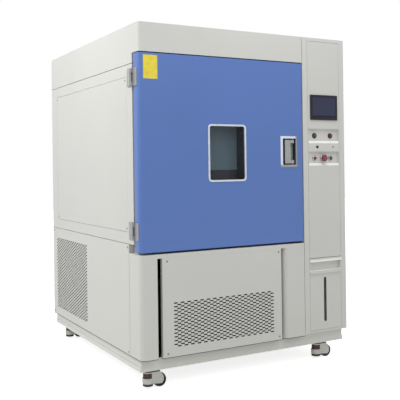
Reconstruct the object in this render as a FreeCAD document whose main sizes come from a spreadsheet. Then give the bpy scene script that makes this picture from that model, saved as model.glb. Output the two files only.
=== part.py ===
"""Floor-standing environmental test chamber with a xenon lamp ceiling, in millimetres.

+X is the right-hand side seen from the front, +Y runs to the back and +Z up.
The origin is on the floor, in the middle of the chamber's overall box.
"""
import FreeCAD, Part
import math
import os
import re
import Sketcher

doc = FreeCAD.newDocument("TestChamber")

# Driving sizes. Places across are taken from the cabinet's left face, places in
# depth from its front plane, and drops from its top.
SIZES = {
    # Cabinet
    "body_width": 1380, "body_depth": 1500, "body_height": 1775,
    "corner_radius": 28, "sheet": 2, "seam": 3, "pan_depth": 25, "door_side_gap": 5,
    "header_height": 154, "header_skirt": 207, "lower_height": 603,
    "plinth_height": 65, "plinth_side_inset": 14, "plinth_front_inset": 40,
    "plinth_wall": 4, "plinth_flange": 150, "plinth_lip": 5, "plinth_lip_height": 24,
    "notch_inset": 26, "post_side_depth": 150, "post_width": 96, "post_return": 60,
    "ledge_height": 22, "ledge_gap": 12, "ledge_depth": 80,
    # Left upper service panel
    "service_start": 158, "service_end": 1385, "service_drop": 273, "service_low": 1110,
    "seat_depth": 12, "seat_lip": 29,
    # Vented front panel and the right flank
    "grille_start": 124, "grille_end": 890, "flank_start": 912, "flank_radius": 34,
    "grille_depth": 22, "slot_length": 22, "slot_height": 5, "slot_pitch": 20,
    "slot_first": 202, "slot_drop": 1487, "slot_columns": 32, "slot_rows": 12,
    # Control column
    "column_start": 1060, "column_depth": 110, "column_lift": 11, "column_edge": 12,
    "strip_left": 36, "strip_right": 44, "strip_top": 20, "strip_bottom": 12,
    "drawer_drop": 1320, "panel_depth": 24, "panel_wall": 8,
    "tray_depth": 16, "tray_margin": 6, "tray_slope": 14,
    "tray_one_drop": 543, "tray_two_drop": 680, "tray_one_height": 88, "tray_two_height": 85,
    "button_spread": 60, "button_lift": 2,
    "screen_drop": 416, "screen_width": 204, "screen_height": 150, "screen_reach": 8,
    "glass_width": 173, "glass_height": 104, "glass_lift": 6,
    "fitting_drop": 653, "fitting_spread": 70, "buzzer_spread": 50,
    "panel_radius": 11, "collar_radius": 15, "cap_radius": 12,
    "stem_radius": 9, "button_travel": 4, "collar_tail": 8, "button_clearance": 0.08,
    "estop_radius": 20, "estop_reach": 14, "estop_height": 13,
    # Water drawer
    "pull_drop": 1322, "pull_height": 90, "pull_lip": 20, "pull_reach": 8, "pull_recess": 16,
    "gauge_drop": 1437, "gauge_low": 1704, "gauge_width": 20,
    "drawer_depth": 420, "drawer_wall": 3, "drawer_inset": 12, "tank_drop": 120,
    "tank_radius": 14, "neck_radius": 26, "neck_height": 24, "tube_radius": 6,
    "runner_gap": 0.3, "runner_width": 10,
    # Door
    "door_height": 1050, "door_thickness": 66, "door_gap": 6, "seal_gap": 16,
    "door_edge_radius": 5, "seal_clearance": 0.3, "seal_width": 14, "seal_margin": 22,
    "pan_return": 12, "strike_gap": 1,
    "window_start": 412, "window_width": 246, "window_drop": 529, "window_height": 318,
    "window_radius": 22, "gasket_width": 10, "gasket_reach": 3, "pane_thickness": 6,
    "handle_start": 896, "handle_width": 120, "handle_drop": 590, "handle_height": 182,
    "bezel_width": 15, "bezel_reach": 4, "handle_recess": 40, "handle_wall": 4,
    "lever_gap": 18, "lever_end_gap": 7, "lever_rise": 6, "lever_arm": 20, "lever_bar": 38,
    "lever_thickness": 10, "lever_inset": 1, "trunnion_radius": 4, "pin_clearance": 0.05,
    "lug_length": 22,
    "bolt_height": 18, "lug_half": 5, "bolt_width": 14, "bolt_stroke": 18, "bolt_thickness": 8,
    "bolt_tip": 1012,
    # Hinges
    "hinge_axis_out": 14, "hinge_axis_depth": 78, "knuckle_radius": 13, "hinge_pin_radius": 5,
    "hinge_height": 93, "hinge_upper_drop": 239, "hinge_lower_drop": 1053,
    "leaf_thickness": 6, "leaf_length": 44, "leaf_gap": 0.6,
    # Test space
    "space_start": 190, "space_width": 680, "space_low": 850, "space_height": 800,
    "space_depth": 820, "space_radius": 20, "face_thickness": 12, "jacket": 60,
    "plug_margin": 10, "plug_depth": 30, "lamp_start": 320, "lamp_width": 420,
    "lamp_depth_start": 230, "lamp_depth": 520, "reflector_height": 130, "reflector_slope": 70,
    "lamp_radius": 13, "lamp_spread": 120, "lamp_flange": 16, "lamp_lap": 8, "cap_length": 30,
    "glass_pane": 4, "pin_room": 4, "grille_back": 100,
    "air_slots": 12, "air_slot_width": 10, "slot_reach": 130,
    "table_radius": 290, "table_height": 300, "table_shaft": 8, "table_rim": 12, "table_hub": 60,
    "table_windows": 8, "motor_radius": 34, "motor_length": 44, "motor_boss": 8, "motor_nose": 16,
    "blower_radius": 115, "blower_depth": 58, "blower_blades": 16,
    # Machine compartment
    "fan_radius": 175, "fan_depth": 45, "fan_gap": 8, "fan_blades": 5,
    "coil_width": 620, "coil_height": 420, "coil_depth": 45, "coil_start": 90,
    "compressor_radius": 110, "compressor_height": 250,
    # Levelling casters
    "caster_height": 105, "caster_side": 108, "caster_front": 100, "caster_back": 95,
    "plate_thickness": 5, "plate_length": 96, "plate_width": 84,
    "wheel_radius": 38, "wheel_width": 30, "wheel_trail": 36, "axle_radius": 5,
    "king_radius": 10, "king_length": 18, "swivel_gap": 1,
    "foot_offset": 30, "foot_radius": 28, "foot_lift": 12, "foot_pad": 12, "screw_radius": 8,
    "dial_radius": 26, "dial_height": 20, "dial_room": 3, "dial_drop": 34, "foot_travel": 14,
    "housing_half_width": 24, "caster_shift": 30,
    # Fasteners
    "screw_head": 5, "screw_rise": 2.6, "screw_shank": 2.5, "screw_length": 13, "screw_inset": 18,
    "grille_screw_side": 29, "grille_screw_lift": 23,
}

# Places that follow from the driving sizes.
PLACES = {
    "left": "-body_width/2 + (hinge_axis_out + knuckle_radius)/2",
    "right": "left + body_width",
    "front": "-body_depth/2 + estop_reach/2",
    "back": "front + body_depth",
    "plinth_z": "caster_height",
    "skirt_z": "caster_height + plinth_height",
    "top_z": "skirt_z + body_height",
    "header_z": "top_z - header_height",
    "cap_skirt_z": "top_z - header_skirt",
    "frame_z": "skirt_z + lower_height",
    "door_top": "header_z - door_gap",
    "door_low": "door_top - door_height",
    "ledge_top": "door_low - ledge_gap",
    "ledge_low": "ledge_top - ledge_height",
    "door_back": "front + door_thickness",
    "face_y": "door_back + seal_gap",
    "column_x": "left + column_start",
    "door_right": "column_x - door_side_gap",
    "cover_right": "column_x - seam",
    "column_low": "skirt_z + column_lift",
    "panel_left": "column_x + strip_left",
    "panel_right": "right - strip_right",
    "panel_mid": "(panel_left + panel_right)/2",
    "column_back": "front + column_depth",
    "tray_y": "front + tray_depth",
    "buttons_one_z": "top_z - tray_one_drop - tray_one_height/2 + button_lift",
    "buttons_two_z": "top_z - tray_two_drop - tray_two_height/2 + button_lift",
    "drawer_top": "top_z - drawer_drop",
    "service_y": "front + service_start",
    "service_back": "front + service_end",
    "service_top": "top_z - service_drop",
    "service_z": "top_z - service_low",
    "window_x": "left + window_start",
    "window_z": "top_z - window_drop - window_height",
    "handle_x": "left + handle_start",
    "handle_top": "top_z - handle_drop",
    "handle_z": "handle_top - handle_height",
    "recess_left": "handle_x + bezel_width",
    "recess_right": "handle_x + handle_width - bezel_width",
    "recess_low": "handle_z + bezel_width",
    "recess_top": "handle_top - bezel_width",
    "lever_left": "recess_left + lever_gap",
    "lever_right": "recess_right - lever_end_gap",
    "lever_low": "recess_low + lever_rise",
    "lever_top": "recess_top - lever_rise",
    "pivot_x": "lever_right - lever_thickness*0.7",
    "pivot_y": "front + lever_inset + lever_thickness*0.7",
    "hinge_x": "left - hinge_axis_out",
    "hinge_y": "front + hinge_axis_depth",
    "space_left": "left + space_start",
    "space_right": "space_left + space_width",
    "space_z": "space_low",
    "space_top": "space_z + space_height",
    "liner_y": "face_y + face_thickness",
    "space_back": "face_y + space_depth",
    "space_mid": "(space_left + space_right)/2",
    "table_y": "(face_y + space_back - grille_back)/2",
    "lamp_left": "left + lamp_start",
    "lamp_right": "lamp_left + lamp_width",
    "lamp_front": "front + lamp_depth_start",
    "lamp_back": "lamp_front + lamp_depth",
    "coil_left": "left + (grille_start + grille_end - coil_width)/2",
    "coil_y": "front + coil_start",
}

sheet = doc.addObject("Spreadsheet::Sheet", "Sizes")
for row, (alias, number) in enumerate(SIZES.items(), start=1):
    sheet.set("A%d" % row, alias)
    sheet.set("B%d" % row, str(number))
    sheet.setAlias("B%d" % row, alias)
doc.recompute()


def formula(text):
    """Write a size formula out as an expression on the sheet's cells."""
    def spell(match):
        word = match.group(0)
        if word in PLACES:
            return "(" + formula(PLACES[word]) + ")"
        return "Sizes." + word if word in SIZES else word
    return re.sub(r"[a-z][a-z_]*", spell, str(text))


def bind(thing, **sizes):
    """Tie properties such as Length or Placement_Base_x to size formulas."""
    for name, text in sizes.items():
        thing.setExpression(name.replace("_", "."), formula(text))


NODES = []


def node(label, thing):
    """Keep a finished sub-part under its own name."""
    thing.Label = label
    NODES.append(thing)
    return thing


# Primitives and booleans

def block(x, y, z):
    """A box between two places on each axis."""
    box = doc.addObject("Part::Box", "Block")
    for side, axis, (low, high) in zip(("Length", "Width", "Height"), "xyz", (x, y, z)):
        bind(box, **{side: "(%s) - (%s)" % (high, low), "Placement_Base_" + axis: low})
    return box


TURN = {"x": (FreeCAD.Vector(0, 1, 0), 90), "y": (FreeCAD.Vector(1, 0, 0), -90),
        "z": (FreeCAD.Vector(0, 0, 1), 0)}


def rod(axis, at, radius, low, high):
    """A cylinder along an axis, centred at two places on the other two."""
    bar = doc.addObject("Part::Cylinder", "Rod")
    bar.Placement.Rotation = FreeCAD.Rotation(*TURN[axis])
    bind(bar, Radius=radius, Height="(%s) - (%s)" % (high, low))
    others = [name for name in "xyz" if name != axis]
    bind(bar, **{"Placement_Base_" + axis: low})
    for name, place in zip(others, at):
        bind(bar, **{"Placement_Base_" + name: place})
    return bar


def join(*things):
    whole = doc.addObject("Part::MultiFuse", "Join")
    whole.Shapes = list(things)
    return whole


def cut(base, *tools):
    rest = doc.addObject("Part::Cut", "Cut")
    rest.Base = base
    rest.Tool = tools[0] if len(tools) == 1 else join(*tools)
    return rest


def group(*things):
    """Separate solids that share one name."""
    family = doc.addObject("Part::Compound", "Group")
    family.Links = list(things)
    return family


# Sketched bodies

ACROSS = {"XY": "z", "XZ": "y", "YZ": "x"}


def body():
    return doc.addObject("PartDesign::Body", "Body")


def sketch_on(part, plane, level):
    """An empty sketch at a level along the axis that its plane faces."""
    sketch = part.newObject("Sketcher::SketchObject", "Outline")
    base = [f for f in part.Origin.OriginFeatures if f.Role == plane + "_Plane"][0]
    sketch.AttachmentSupport = [(base, "")]
    sketch.MapMode = "FlatFace"
    sign = "-" if plane == "XZ" else ""
    bind(sketch, AttachmentOffset_Base_z="%s(%s)" % (sign, level))
    return sketch


def draw_polygon(sketch, points):
    """A closed outline through points that are given by formulas."""
    first = sketch.GeometryCount
    count = len(points)
    spots = [FreeCAD.Vector(100 * math.cos(2 * math.pi * i / count),
                            100 * math.sin(2 * math.pi * i / count), 0) for i in range(count)]
    for i in range(count):
        sketch.addGeometry(Part.LineSegment(spots[i], spots[(i + 1) % count]), False)
    for i in range(count):
        sketch.addConstraint(Sketcher.Constraint("Coincident", first + i, 2,
                                                 first + (i + 1) % count, 1))
    for i, (across, up) in enumerate(points):
        for kind, text, now in (("DistanceX", across, spots[i].x), ("DistanceY", up, spots[i].y)):
            index = sketch.addConstraint(Sketcher.Constraint(kind, -1, 1, first + i, 1, now))
            sketch.setExpression("Constraints[%d]" % index, formula(text))


def draw_circle(sketch, across, up, radius):
    index = sketch.addGeometry(Part.Circle(FreeCAD.Vector(1, 1, 0), FreeCAD.Vector(0, 0, 1), 5))
    for kind, text, now in (("DistanceX", across, 1), ("DistanceY", up, 1)):
        which = sketch.addConstraint(Sketcher.Constraint(kind, -1, 1, index, 3, now))
        sketch.setExpression("Constraints[%d]" % which, formula(text))
    which = sketch.addConstraint(Sketcher.Constraint("Radius", index, 5))
    sketch.setExpression("Constraints[%d]" % which, formula(radius))


def rectangle(low, high):
    """The corners of a rectangle, from two corners given as pairs of formulas."""
    return [(low[0], low[1]), (high[0], low[1]), (high[0], high[1]), (low[0], high[1])]


def extrude(part, plane, low, high, outlines=(), circles=(), remove=False):
    """Add or remove the sketched outlines between two levels of the plane's axis."""
    before = part.Tip.Shape.Volume if remove else 0
    sketch = sketch_on(part, plane, low)
    for points in outlines:
        draw_polygon(sketch, points)
    for circle in circles:
        draw_circle(sketch, *circle)
    feature = part.newObject("PartDesign::Pocket" if remove else "PartDesign::Pad", "Extrude")
    feature.Profile = sketch
    feature.Reversed = (plane == "XZ") != remove
    bind(feature, Length="(%s) - (%s)" % (high, low))
    doc.recompute()
    if remove and not feature.Shape.Volume < before:
        raise ValueError("a pocket in %s removed nothing" % part.Name)
    return feature


def is_along(edge, axis):
    box = edge.BoundBox
    lengths = {"x": box.XLength, "y": box.YLength, "z": box.ZLength}
    return all(size < 1e-4 for name, size in lengths.items() if name != axis)


def at_side(edge, whole, side):
    """Whether an edge lies on one side of its solid's box, such as x- or z+."""
    box = edge.BoundBox
    value = {"x-": box.XMax - whole.XMin, "x+": whole.XMax - box.XMin,
             "y-": box.YMax - whole.YMin, "y+": whole.YMax - box.YMin,
             "z-": box.ZMax - whole.ZMin, "z+": whole.ZMax - box.ZMin}[side]
    return value < 1e-3


def soften(part, radius, pick, kind="Fillet"):
    """Round or bevel the edges that pick() chooses on the body as it stands."""
    doc.recompute()
    base = part.Tip
    chosen = ["Edge%d" % (i + 1) for i, edge in enumerate(base.Shape.Edges)
              if pick(edge, base.Shape.BoundBox)]
    if not chosen:
        raise ValueError("no edge to soften in %s" % part.Name)
    feature = part.newObject("PartDesign::" + kind, kind)
    feature.Base = (base, chosen)
    bind(feature, **{"Radius" if kind == "Fillet" else "Size": radius})
    doc.recompute()
    return feature


def corner(axis, *sides):
    """Picks the edges along an axis that lie on all the given sides."""
    return lambda edge, whole: is_along(edge, axis) and all(at_side(edge, whole, s) for s in sides)


def rim(side):
    """Picks every edge that lies in one side of the solid's box."""
    return lambda edge, whole: at_side(edge, whole, side)


def turned(profile, place=("0", "0", "0"), toward="up"):
    """A solid of revolution from (radius, height) corners, stood at a place."""
    part = body()
    sketch = sketch_on(part, "XZ", "0")
    draw_polygon(sketch, profile)
    feature = part.newObject("PartDesign::Revolution", "Turn")
    feature.Profile = sketch
    feature.ReferenceAxis = (sketch, ["V_Axis"])
    feature.Angle = 360
    spin = {"up": FreeCAD.Rotation(), "front": FreeCAD.Rotation(FreeCAD.Vector(1, 0, 0), 90),
            "back": FreeCAD.Rotation(FreeCAD.Vector(1, 0, 0), -90),
            "left": FreeCAD.Rotation(FreeCAD.Vector(0, 1, 0), -90)}[toward]
    part.Placement = FreeCAD.Placement(FreeCAD.Vector(), spin)
    stand(part, place)
    doc.recompute()
    return part


def stand(thing, place):
    for axis, text in zip("xyz", place):
        bind(thing, **{"Placement_Base_" + axis: text})
    return thing


# Cabinet

def base_frame():
    """Folded steel plinth, open below, with an inward flange for the casters."""
    part = body()
    low = ("left + plinth_side_inset", "front + plinth_front_inset")
    high = ("right - plinth_side_inset", "back - plinth_side_inset")
    extrude(part, "XY", "plinth_z", "skirt_z", [rectangle(low, high)])
    lip = ("left + plinth_side_inset - plinth_lip", "front + plinth_front_inset")
    extrude(part, "XY", "plinth_z", "plinth_z + plinth_lip_height",
            [rectangle(lip, ("right - plinth_side_inset + plinth_lip", high[1]))])
    walls = [(low[0] + " + plinth_wall", low[1] + " + plinth_wall"),
             (high[0] + " - plinth_wall", high[1] + " - plinth_wall")]
    extrude(part, "XY", "plinth_z + plinth_wall", "skirt_z - plinth_wall",
            [rectangle(*walls)], remove=True)
    flange = [(low[0] + " + plinth_flange", low[1] + " + plinth_flange"),
              (high[0] + " - plinth_flange", high[1] + " - plinth_flange")]
    extrude(part, "XY", "plinth_z", "plinth_z + plinth_wall", [rectangle(*flange)], remove=True)
    return node("base_frame", part)


def deck_frame():
    """Pressed floor pan that carries the test space, set in at the door's notch."""
    part = body()
    low = ("left + notch_inset", "face_y")
    high = ("cover_right", "back - sheet")
    extrude(part, "XY", "ledge_top", "frame_z", [rectangle(low, high)])
    inner = [("left + notch_inset + sheet", "face_y + sheet"),
             ("cover_right - sheet", "back - 2*sheet")]
    extrude(part, "XY", "ledge_top", "frame_z - sheet", [rectangle(*inner)], remove=True)
    extrude(part, "XY", "frame_z - sheet", "frame_z",
            circles=[("space_mid", "table_y", "table_shaft + pin_room")], remove=True)
    return node("deck_frame", part)


def header_cap():
    """Top cover with the front fascia, its front left corner rounded."""
    part = body()
    extrude(part, "XY", "header_z", "top_z",
            [rectangle(("left", "front"), ("cover_right", "back"))])
    soften(part, "corner_radius", corner("z", "x-", "y-"))
    extrude(part, "XY", "cap_skirt_z", "header_z",
            [rectangle(("left", "face_y"), ("cover_right", "back"))])
    extrude(part, "XY", "cap_skirt_z", "top_z - sheet",
            [rectangle(("left + sheet", "face_y + sheet"),
                       ("cover_right - sheet", "back - sheet"))], remove=True)
    extrude(part, "XY", "header_z + sheet", "top_z - sheet",
            [rectangle(("left + corner_radius", "front + sheet"),
                       ("cover_right - sheet", "face_y + sheet")),
             ], remove=True)
    extrude(part, "XY", "header_z + sheet", "top_z - sheet",
            [rectangle(("left + sheet", "front + corner_radius"),
                       ("left + corner_radius", "face_y + sheet"))], remove=True)
    return node("header_cap", part)


def left_upper_frame():
    """Folded side pan with a seat for the service panel."""
    part = body()
    low, high = ("face_y", "frame_z"), ("back - sheet", "cap_skirt_z - seam")
    extrude(part, "YZ", "left", "left + pan_depth", [rectangle(low, high)])
    extrude(part, "YZ", "left + sheet", "left + pan_depth",
            [rectangle(("face_y + sheet", "frame_z + sheet"),
                       ("back - 2*sheet", "cap_skirt_z - seam - sheet"))], remove=True)
    seat = [("service_y - sheet", "service_z - sheet"),
            ("service_back + sheet", "service_top + sheet")]
    extrude(part, "YZ", "left + sheet", "left + seat_depth + sheet", [rectangle(*seat)])
    extrude(part, "YZ", "left", "left + seat_depth",
            [rectangle(("service_y", "service_z"), ("service_back", "service_top"))], remove=True)
    lip = [("service_y + seat_lip", "service_z + seat_lip"),
           ("service_back - seat_lip", "service_top - seat_lip")]
    extrude(part, "YZ", "left + seat_depth", "left + seat_depth + sheet",
            [rectangle(*lip)], remove=True)
    drill(part, "YZ", "left + seat_depth", "left + seat_depth + sheet", SERVICE_SPOTS)
    return node("left_upper_frame", part)


def side_pan(low, high, depth):
    """A shallow pan on the left face, folded from sheet and open to the inside."""
    part = body()
    extrude(part, "YZ", "left", "left + " + depth, [rectangle(low, high)])
    soften(part, "sheet/2", rim("x-"))
    inner = [(low[0] + " + sheet", low[1] + " + sheet"), (high[0] + " - sheet", high[1] + " - sheet")]
    extrude(part, "YZ", "left + sheet", "left + " + depth, [rectangle(*inner)], remove=True)
    return part


def spots(low, high, start="screw_inset", lift="screw_inset"):
    """Where the fasteners of a rectangular panel sit, as pairs across and up."""
    return [(across, up)
            for across in ("%s + %s" % (low[0], start), "%s - screw_inset" % high[0])
            for up in ("%s + %s" % (low[1], lift), "%s - screw_inset" % high[1])]


SERVICE_SPOTS = spots(("service_y", "service_z"), ("service_back", "service_top"))
LOWER_SPOTS = spots(("front + post_side_depth + seam", "skirt_z"), ("back - sheet", "frame_z - seam"))
GRILLE_SPOTS = spots(("left + grille_start", "skirt_z"), ("left + grille_end", "ledge_low"),
                     "grille_screw_side", "grille_screw_lift")
PANEL_SPOT = ("panel_mid + fitting_spread", "top_z - fitting_drop")


def drill(part, plane, low, high, places):
    """Clearance holes for the fasteners."""
    holes = [(across, up, "screw_shank + button_clearance") for across, up in places]
    extrude(part, plane, low, high, circles=holes, remove=True)


def left_upper_panel():
    """Flush service panel of the upper left side."""
    low = ("service_y + seam/2", "service_z + seam/2")
    high = ("service_back - seam/2", "service_top - seam/2")
    part = side_pan(low, high, "seat_depth")
    drill(part, "YZ", "left", "left + sheet", SERVICE_SPOTS)
    return node("left_upper_panel", part)


def left_lower_panel():
    low = ("front + post_side_depth + seam", "skirt_z")
    high = ("back - sheet", "frame_z - seam")
    part = side_pan(low, high, "pan_depth")
    drill(part, "YZ", "left", "left + sheet", LOWER_SPOTS)
    return node("left_lower_panel", part)


def left_corner_post():
    """Rounded corner post, folded from one sheet with a return at each end."""
    part = body()
    outline = [("left", "front"), ("left + post_width", "front"),
               ("left + post_width", "front + post_return"),
               ("left + post_width - sheet", "front + post_return"),
               ("left + post_width - sheet", "front + sheet"),
               ("left + sheet", "front + sheet"),
               ("left + sheet", "front + post_side_depth"), ("left", "front + post_side_depth")]
    extrude(part, "XY", "skirt_z", "ledge_low", [outline])
    soften(part, "corner_radius - sheet", inside("left + sheet", "front + sheet"))
    soften(part, "corner_radius", corner("z", "x-", "y-"))
    return node("left_corner_post", part)


def ledge_strip():
    """Cross strip below the door, wrapped round the left corner."""
    part = body()
    outline = [("left", "front"), ("cover_right", "front"), ("cover_right", "front + ledge_depth"),
               ("left + notch_inset", "front + ledge_depth"),
               ("left + notch_inset", "front + post_side_depth"),
               ("left", "front + post_side_depth")]
    extrude(part, "XY", "ledge_low", "ledge_top", [outline])
    soften(part, "corner_radius", corner("z", "x-", "y-"))
    soften(part, "seam", corner("x", "y-", "z+"))
    return node("ledge_strip", part)


def measure(*texts):
    """The numbers that formulas give, read from a point that is bound to the sheet."""
    values = []
    for text in texts:
        probe = doc.addObject("Part::Vertex", "Probe")
        bind(probe, X=text)
        probe.recompute()
        values.append(probe.X.Value)
        doc.removeObject(probe.Name)
    return values


def wire(left, right, low, high, deep):
    """A rectangular loop in an upright plane that faces the front."""
    spots = [(left, low), (right, low), (right, high), (left, high), (left, low)]
    return Part.makePolygon([FreeCAD.Vector(across, deep, up) for across, up in spots])


def front_grille_panel():
    """Vented service panel: a folded pan whose face has staggered columns of slots."""
    low = ("left + grille_start", "skirt_z")
    high = ("left + grille_end", "ledge_low - seal_clearance")
    left, right, bottom, top, deep, thick = measure(low[0], high[0], low[1], high[1],
                                                    "front", "sheet")
    first, start, pitch, rows = measure("left + slot_first", "top_z - slot_drop", "slot_pitch",
                                        "slot_rows")
    wide, tall, columns = measure("slot_length", "slot_height", "slot_columns")
    slots = []
    for column in range(int(columns)):
        across = first + column * pitch
        for row in range(int(rows)):
            up = start + (column % 2) * pitch / 2 - row * pitch
            slots.append(wire(across - wide / 2, across + wide / 2, up - tall / 2, up + tall / 2, deep))
    for place in GRILLE_SPOTS:
        across, up, radius = measure(place[0], place[1], "screw_shank + button_clearance")
        ring = Part.makeCircle(radius, FreeCAD.Vector(across, deep, up), FreeCAD.Vector(0, 1, 0))
        slots.append(Part.Wire(ring))
    outline = wire(left, right, bottom, top, deep)
    face = doc.addObject("Part::Feature", "SlottedSheet")
    flat = Part.makeFace([outline] + slots, "Part::FaceMakerCheese")
    face.Shape = flat.extrude(FreeCAD.Vector(0, thick, 0))
    walls = body()
    inner = [(low[0] + " + sheet", low[1] + " + sheet"), (high[0] + " - sheet", high[1] + " - sheet")]
    extrude(walls, "XZ", "front + sheet", "front + grille_depth",
            [rectangle(low, high), rectangle(*inner)])
    return node("front_grille_panel", join(face, walls))


def right_flank_post():
    """Post between the vented panel and the control column, rounded on its left."""
    part = body()
    outline = [("left + flank_start", "front"), ("cover_right", "front"),
               ("cover_right", "front + post_return"),
               ("cover_right - sheet", "front + post_return"),
               ("cover_right - sheet", "front + sheet"),
               ("left + flank_start + sheet", "front + sheet"),
               ("left + flank_start + sheet", "front + post_return"),
               ("left + flank_start", "front + post_return")]
    extrude(part, "XY", "skirt_z", "ledge_low", [outline])
    soften(part, "flank_radius - sheet", inside("left + flank_start + sheet", "front + sheet"))
    soften(part, "flank_radius", corner("z", "x-", "y-"))
    return node("right_flank_post", part)


def inside(across, deep):
    """Picks the upright edge that stands at one inner corner."""
    place = measure(across, deep)

    def pick(edge, whole):
        box = edge.BoundBox
        return (is_along(edge, "z") and abs(box.XMin - place[0]) < 1e-3
                and abs(box.YMin - place[1]) < 1e-3)
    return pick


def control_column():
    """Tall channel beside the door, open in front for the panel and the drawer."""
    part = body()
    extrude(part, "XY", "column_low", "top_z",
            [rectangle(("column_x", "front"), ("right", "column_back"))])
    soften(part, "column_edge", corner("z", "x+", "y-"))
    extrude(part, "XZ", "front + column_edge", "column_back",
            [rectangle(("column_x + sheet", "column_low + sheet"),
                       ("right - sheet", "top_z - sheet"))], remove=True)
    extrude(part, "XZ", "front", "front + column_edge",
            [rectangle(("panel_left", "column_low + strip_bottom"),
                       ("panel_right", "top_z - strip_top"))], remove=True)
    return node("control_column", part)


def right_cover():
    """Right side sheet folded over the top of the column and down its back."""
    part = body()
    outline = [("column_x", "top_z"), ("right", "top_z"), ("right", "column_low"),
               ("right - sheet", "column_low"), ("right - sheet", "top_z - sheet"),
               ("column_x", "top_z - sheet")]
    extrude(part, "XZ", "column_back", "back", [outline])
    extrude(part, "XZ", "back - sheet", "back",
            [rectangle(("column_x", "cap_skirt_z"), ("right", "top_z"))])
    return node("right_cover", part)


def back_panel():
    part = body()
    extrude(part, "XZ", "back - sheet", "back",
            [rectangle(("left", "skirt_z"), ("right - sheet", "cap_skirt_z"))])
    return node("back_panel", part)


def control_panel():
    """Formed panel with two sloped trays, a screen cut-out and a flange behind the column's strips."""
    part = body()
    low = ("panel_left + seam/2", "drawer_top + seam/2")
    high = ("panel_right - seam/2", "top_z - strip_top - seam/2")
    extrude(part, "XZ", "front", "front + panel_depth", [rectangle(low, high)])
    flange = [("panel_left - panel_wall", "drawer_top + seam/2"),
              ("panel_right + panel_wall", "top_z - strip_top - seam/2")]
    extrude(part, "XZ", "front + column_edge", "front + column_edge + sheet", [rectangle(*flange)])
    for drop, tall in (("tray_one_drop", "tray_one_height"), ("tray_two_drop", "tray_two_height")):
        top = "top_z - " + drop
        tray = [("front", top), ("tray_y", top + " - tray_slope"),
                ("tray_y", "%s - %s + tray_slope" % (top, tall)), ("front", "%s - %s" % (top, tall))]
        extrude(part, "YZ", "panel_left + tray_margin", "panel_right - tray_margin",
                [tray], remove=True)
    lower = [("panel_left + seam/2 + sheet", "drawer_top + seam/2 + sheet"),
             ("panel_right - seam/2 - sheet", "top_z - tray_two_drop - tray_two_height - tray_slope")]
    extrude(part, "XZ", "front + sheet", "front + panel_depth", [rectangle(*lower)], remove=True)
    screen = [("panel_mid - screen_width/2 + glass_lift", "screen_z - screen_height/2 + glass_lift"),
              ("panel_mid + screen_width/2 - glass_lift", "screen_z + screen_height/2 - glass_lift")]
    extrude(part, "XZ", "front", "front + panel_depth", [rectangle(*screen)], remove=True)
    holes = [("panel_mid + %s" % across, up, "panel_radius") for across, up in PANEL_SPOTS]
    extrude(part, "XZ", "front", "front + panel_depth", circles=holes, remove=True)
    drill(part, "XZ", "front", "front + panel_depth", [PANEL_SPOT])
    return node("control_panel", part)


# Where the fittings sit on the panel: across from its middle, and up.
PANEL_SPOTS = (("(0 - button_spread)", "buttons_one_z"), ("button_spread", "buttons_one_z"),
               ("(0 - button_spread)", "buttons_two_z"), ("0", "buttons_two_z"),
               ("button_spread", "buttons_two_z"))
BUTTONS = ("start_button", "stop_button", "alarm_lamp", "emergency_stop", "light_button")
PLACES["screen_z"] = "top_z - screen_drop"


def hmi_panel():
    """Operating screen: a bezel standing proud of the panel, with its glass."""
    bezel = body()
    outer = [("panel_mid - screen_width/2", "screen_z - screen_height/2"),
             ("panel_mid + screen_width/2", "screen_z + screen_height/2")]
    extrude(bezel, "XZ", "front - screen_reach", "front", [rectangle(*outer)])
    soften(bezel, "screen_reach/2", rim("y-"), "Chamfer")
    neck = [("panel_mid - screen_width/2 + glass_lift + seal_clearance",
             "screen_z - screen_height/2 + glass_lift + seal_clearance"),
            ("panel_mid + screen_width/2 - glass_lift - seal_clearance",
             "screen_z + screen_height/2 - glass_lift - seal_clearance")]
    extrude(bezel, "XZ", "front", "front + panel_depth", [rectangle(*neck)])
    glass_low = ("panel_mid - glass_width/2", "screen_z - glass_height/2 + glass_lift")
    glass_high = ("panel_mid + glass_width/2", "screen_z + glass_height/2 + glass_lift")
    extrude(bezel, "XZ", "front - screen_reach", "front - screen_reach + sheet",
            [rectangle(glass_low, glass_high)], remove=True)
    glass = block((glass_low[0], glass_high[0]),
                  ("front - screen_reach + sheet/2", "front - screen_reach + sheet"),
                  (glass_low[1], glass_high[1]))
    return node("hmi_panel", group(bezel, glass))


def panel_fittings():
    """The button collars, the alarm lamp's lens and the buzzer, all pressed into the panel."""
    pieces = []
    for across, up in PANEL_SPOTS:
        profile = [("stem_radius + button_clearance", "0 - panel_wall - collar_tail"),
                   ("panel_radius", "0 - panel_wall - collar_tail"), ("panel_radius", "0"),
                   ("collar_radius", "0"), ("collar_radius", "button_travel"),
                   ("collar_radius - 1", "button_travel + 2"),
                   ("cap_radius + button_clearance", "button_travel + 2"),
                   ("cap_radius + button_clearance", "1"),
                   ("stem_radius + button_clearance", "1")]
        pieces.append(turned(profile, ("panel_mid + " + across, "tray_y", up), "front"))
    lens = [("0", "0 - panel_wall"), ("stem_radius", "0 - panel_wall"), ("stem_radius", "1"),
            ("cap_radius", "1"), ("cap_radius", "button_travel + 2"),
            ("cap_radius*0.7", "button_travel + 5"), ("0", "button_travel + 6")]
    pieces.append(turned(lens, ("panel_mid + (0 - button_spread)", "tray_y", "buttons_two_z"), "front"))
    buzzer = [("0", "0"), ("stem_radius", "0"), ("stem_radius", "1.5"), ("stem_radius - 1", "2.5"),
              ("stem_radius/3", "2.5"), ("stem_radius/3", "1"), ("0", "1")]
    pieces.append(turned(buzzer, ("panel_mid - buzzer_spread", "front", "top_z - fitting_drop"),
                         "front"))
    return node("panel_fittings", group(*pieces))


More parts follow.
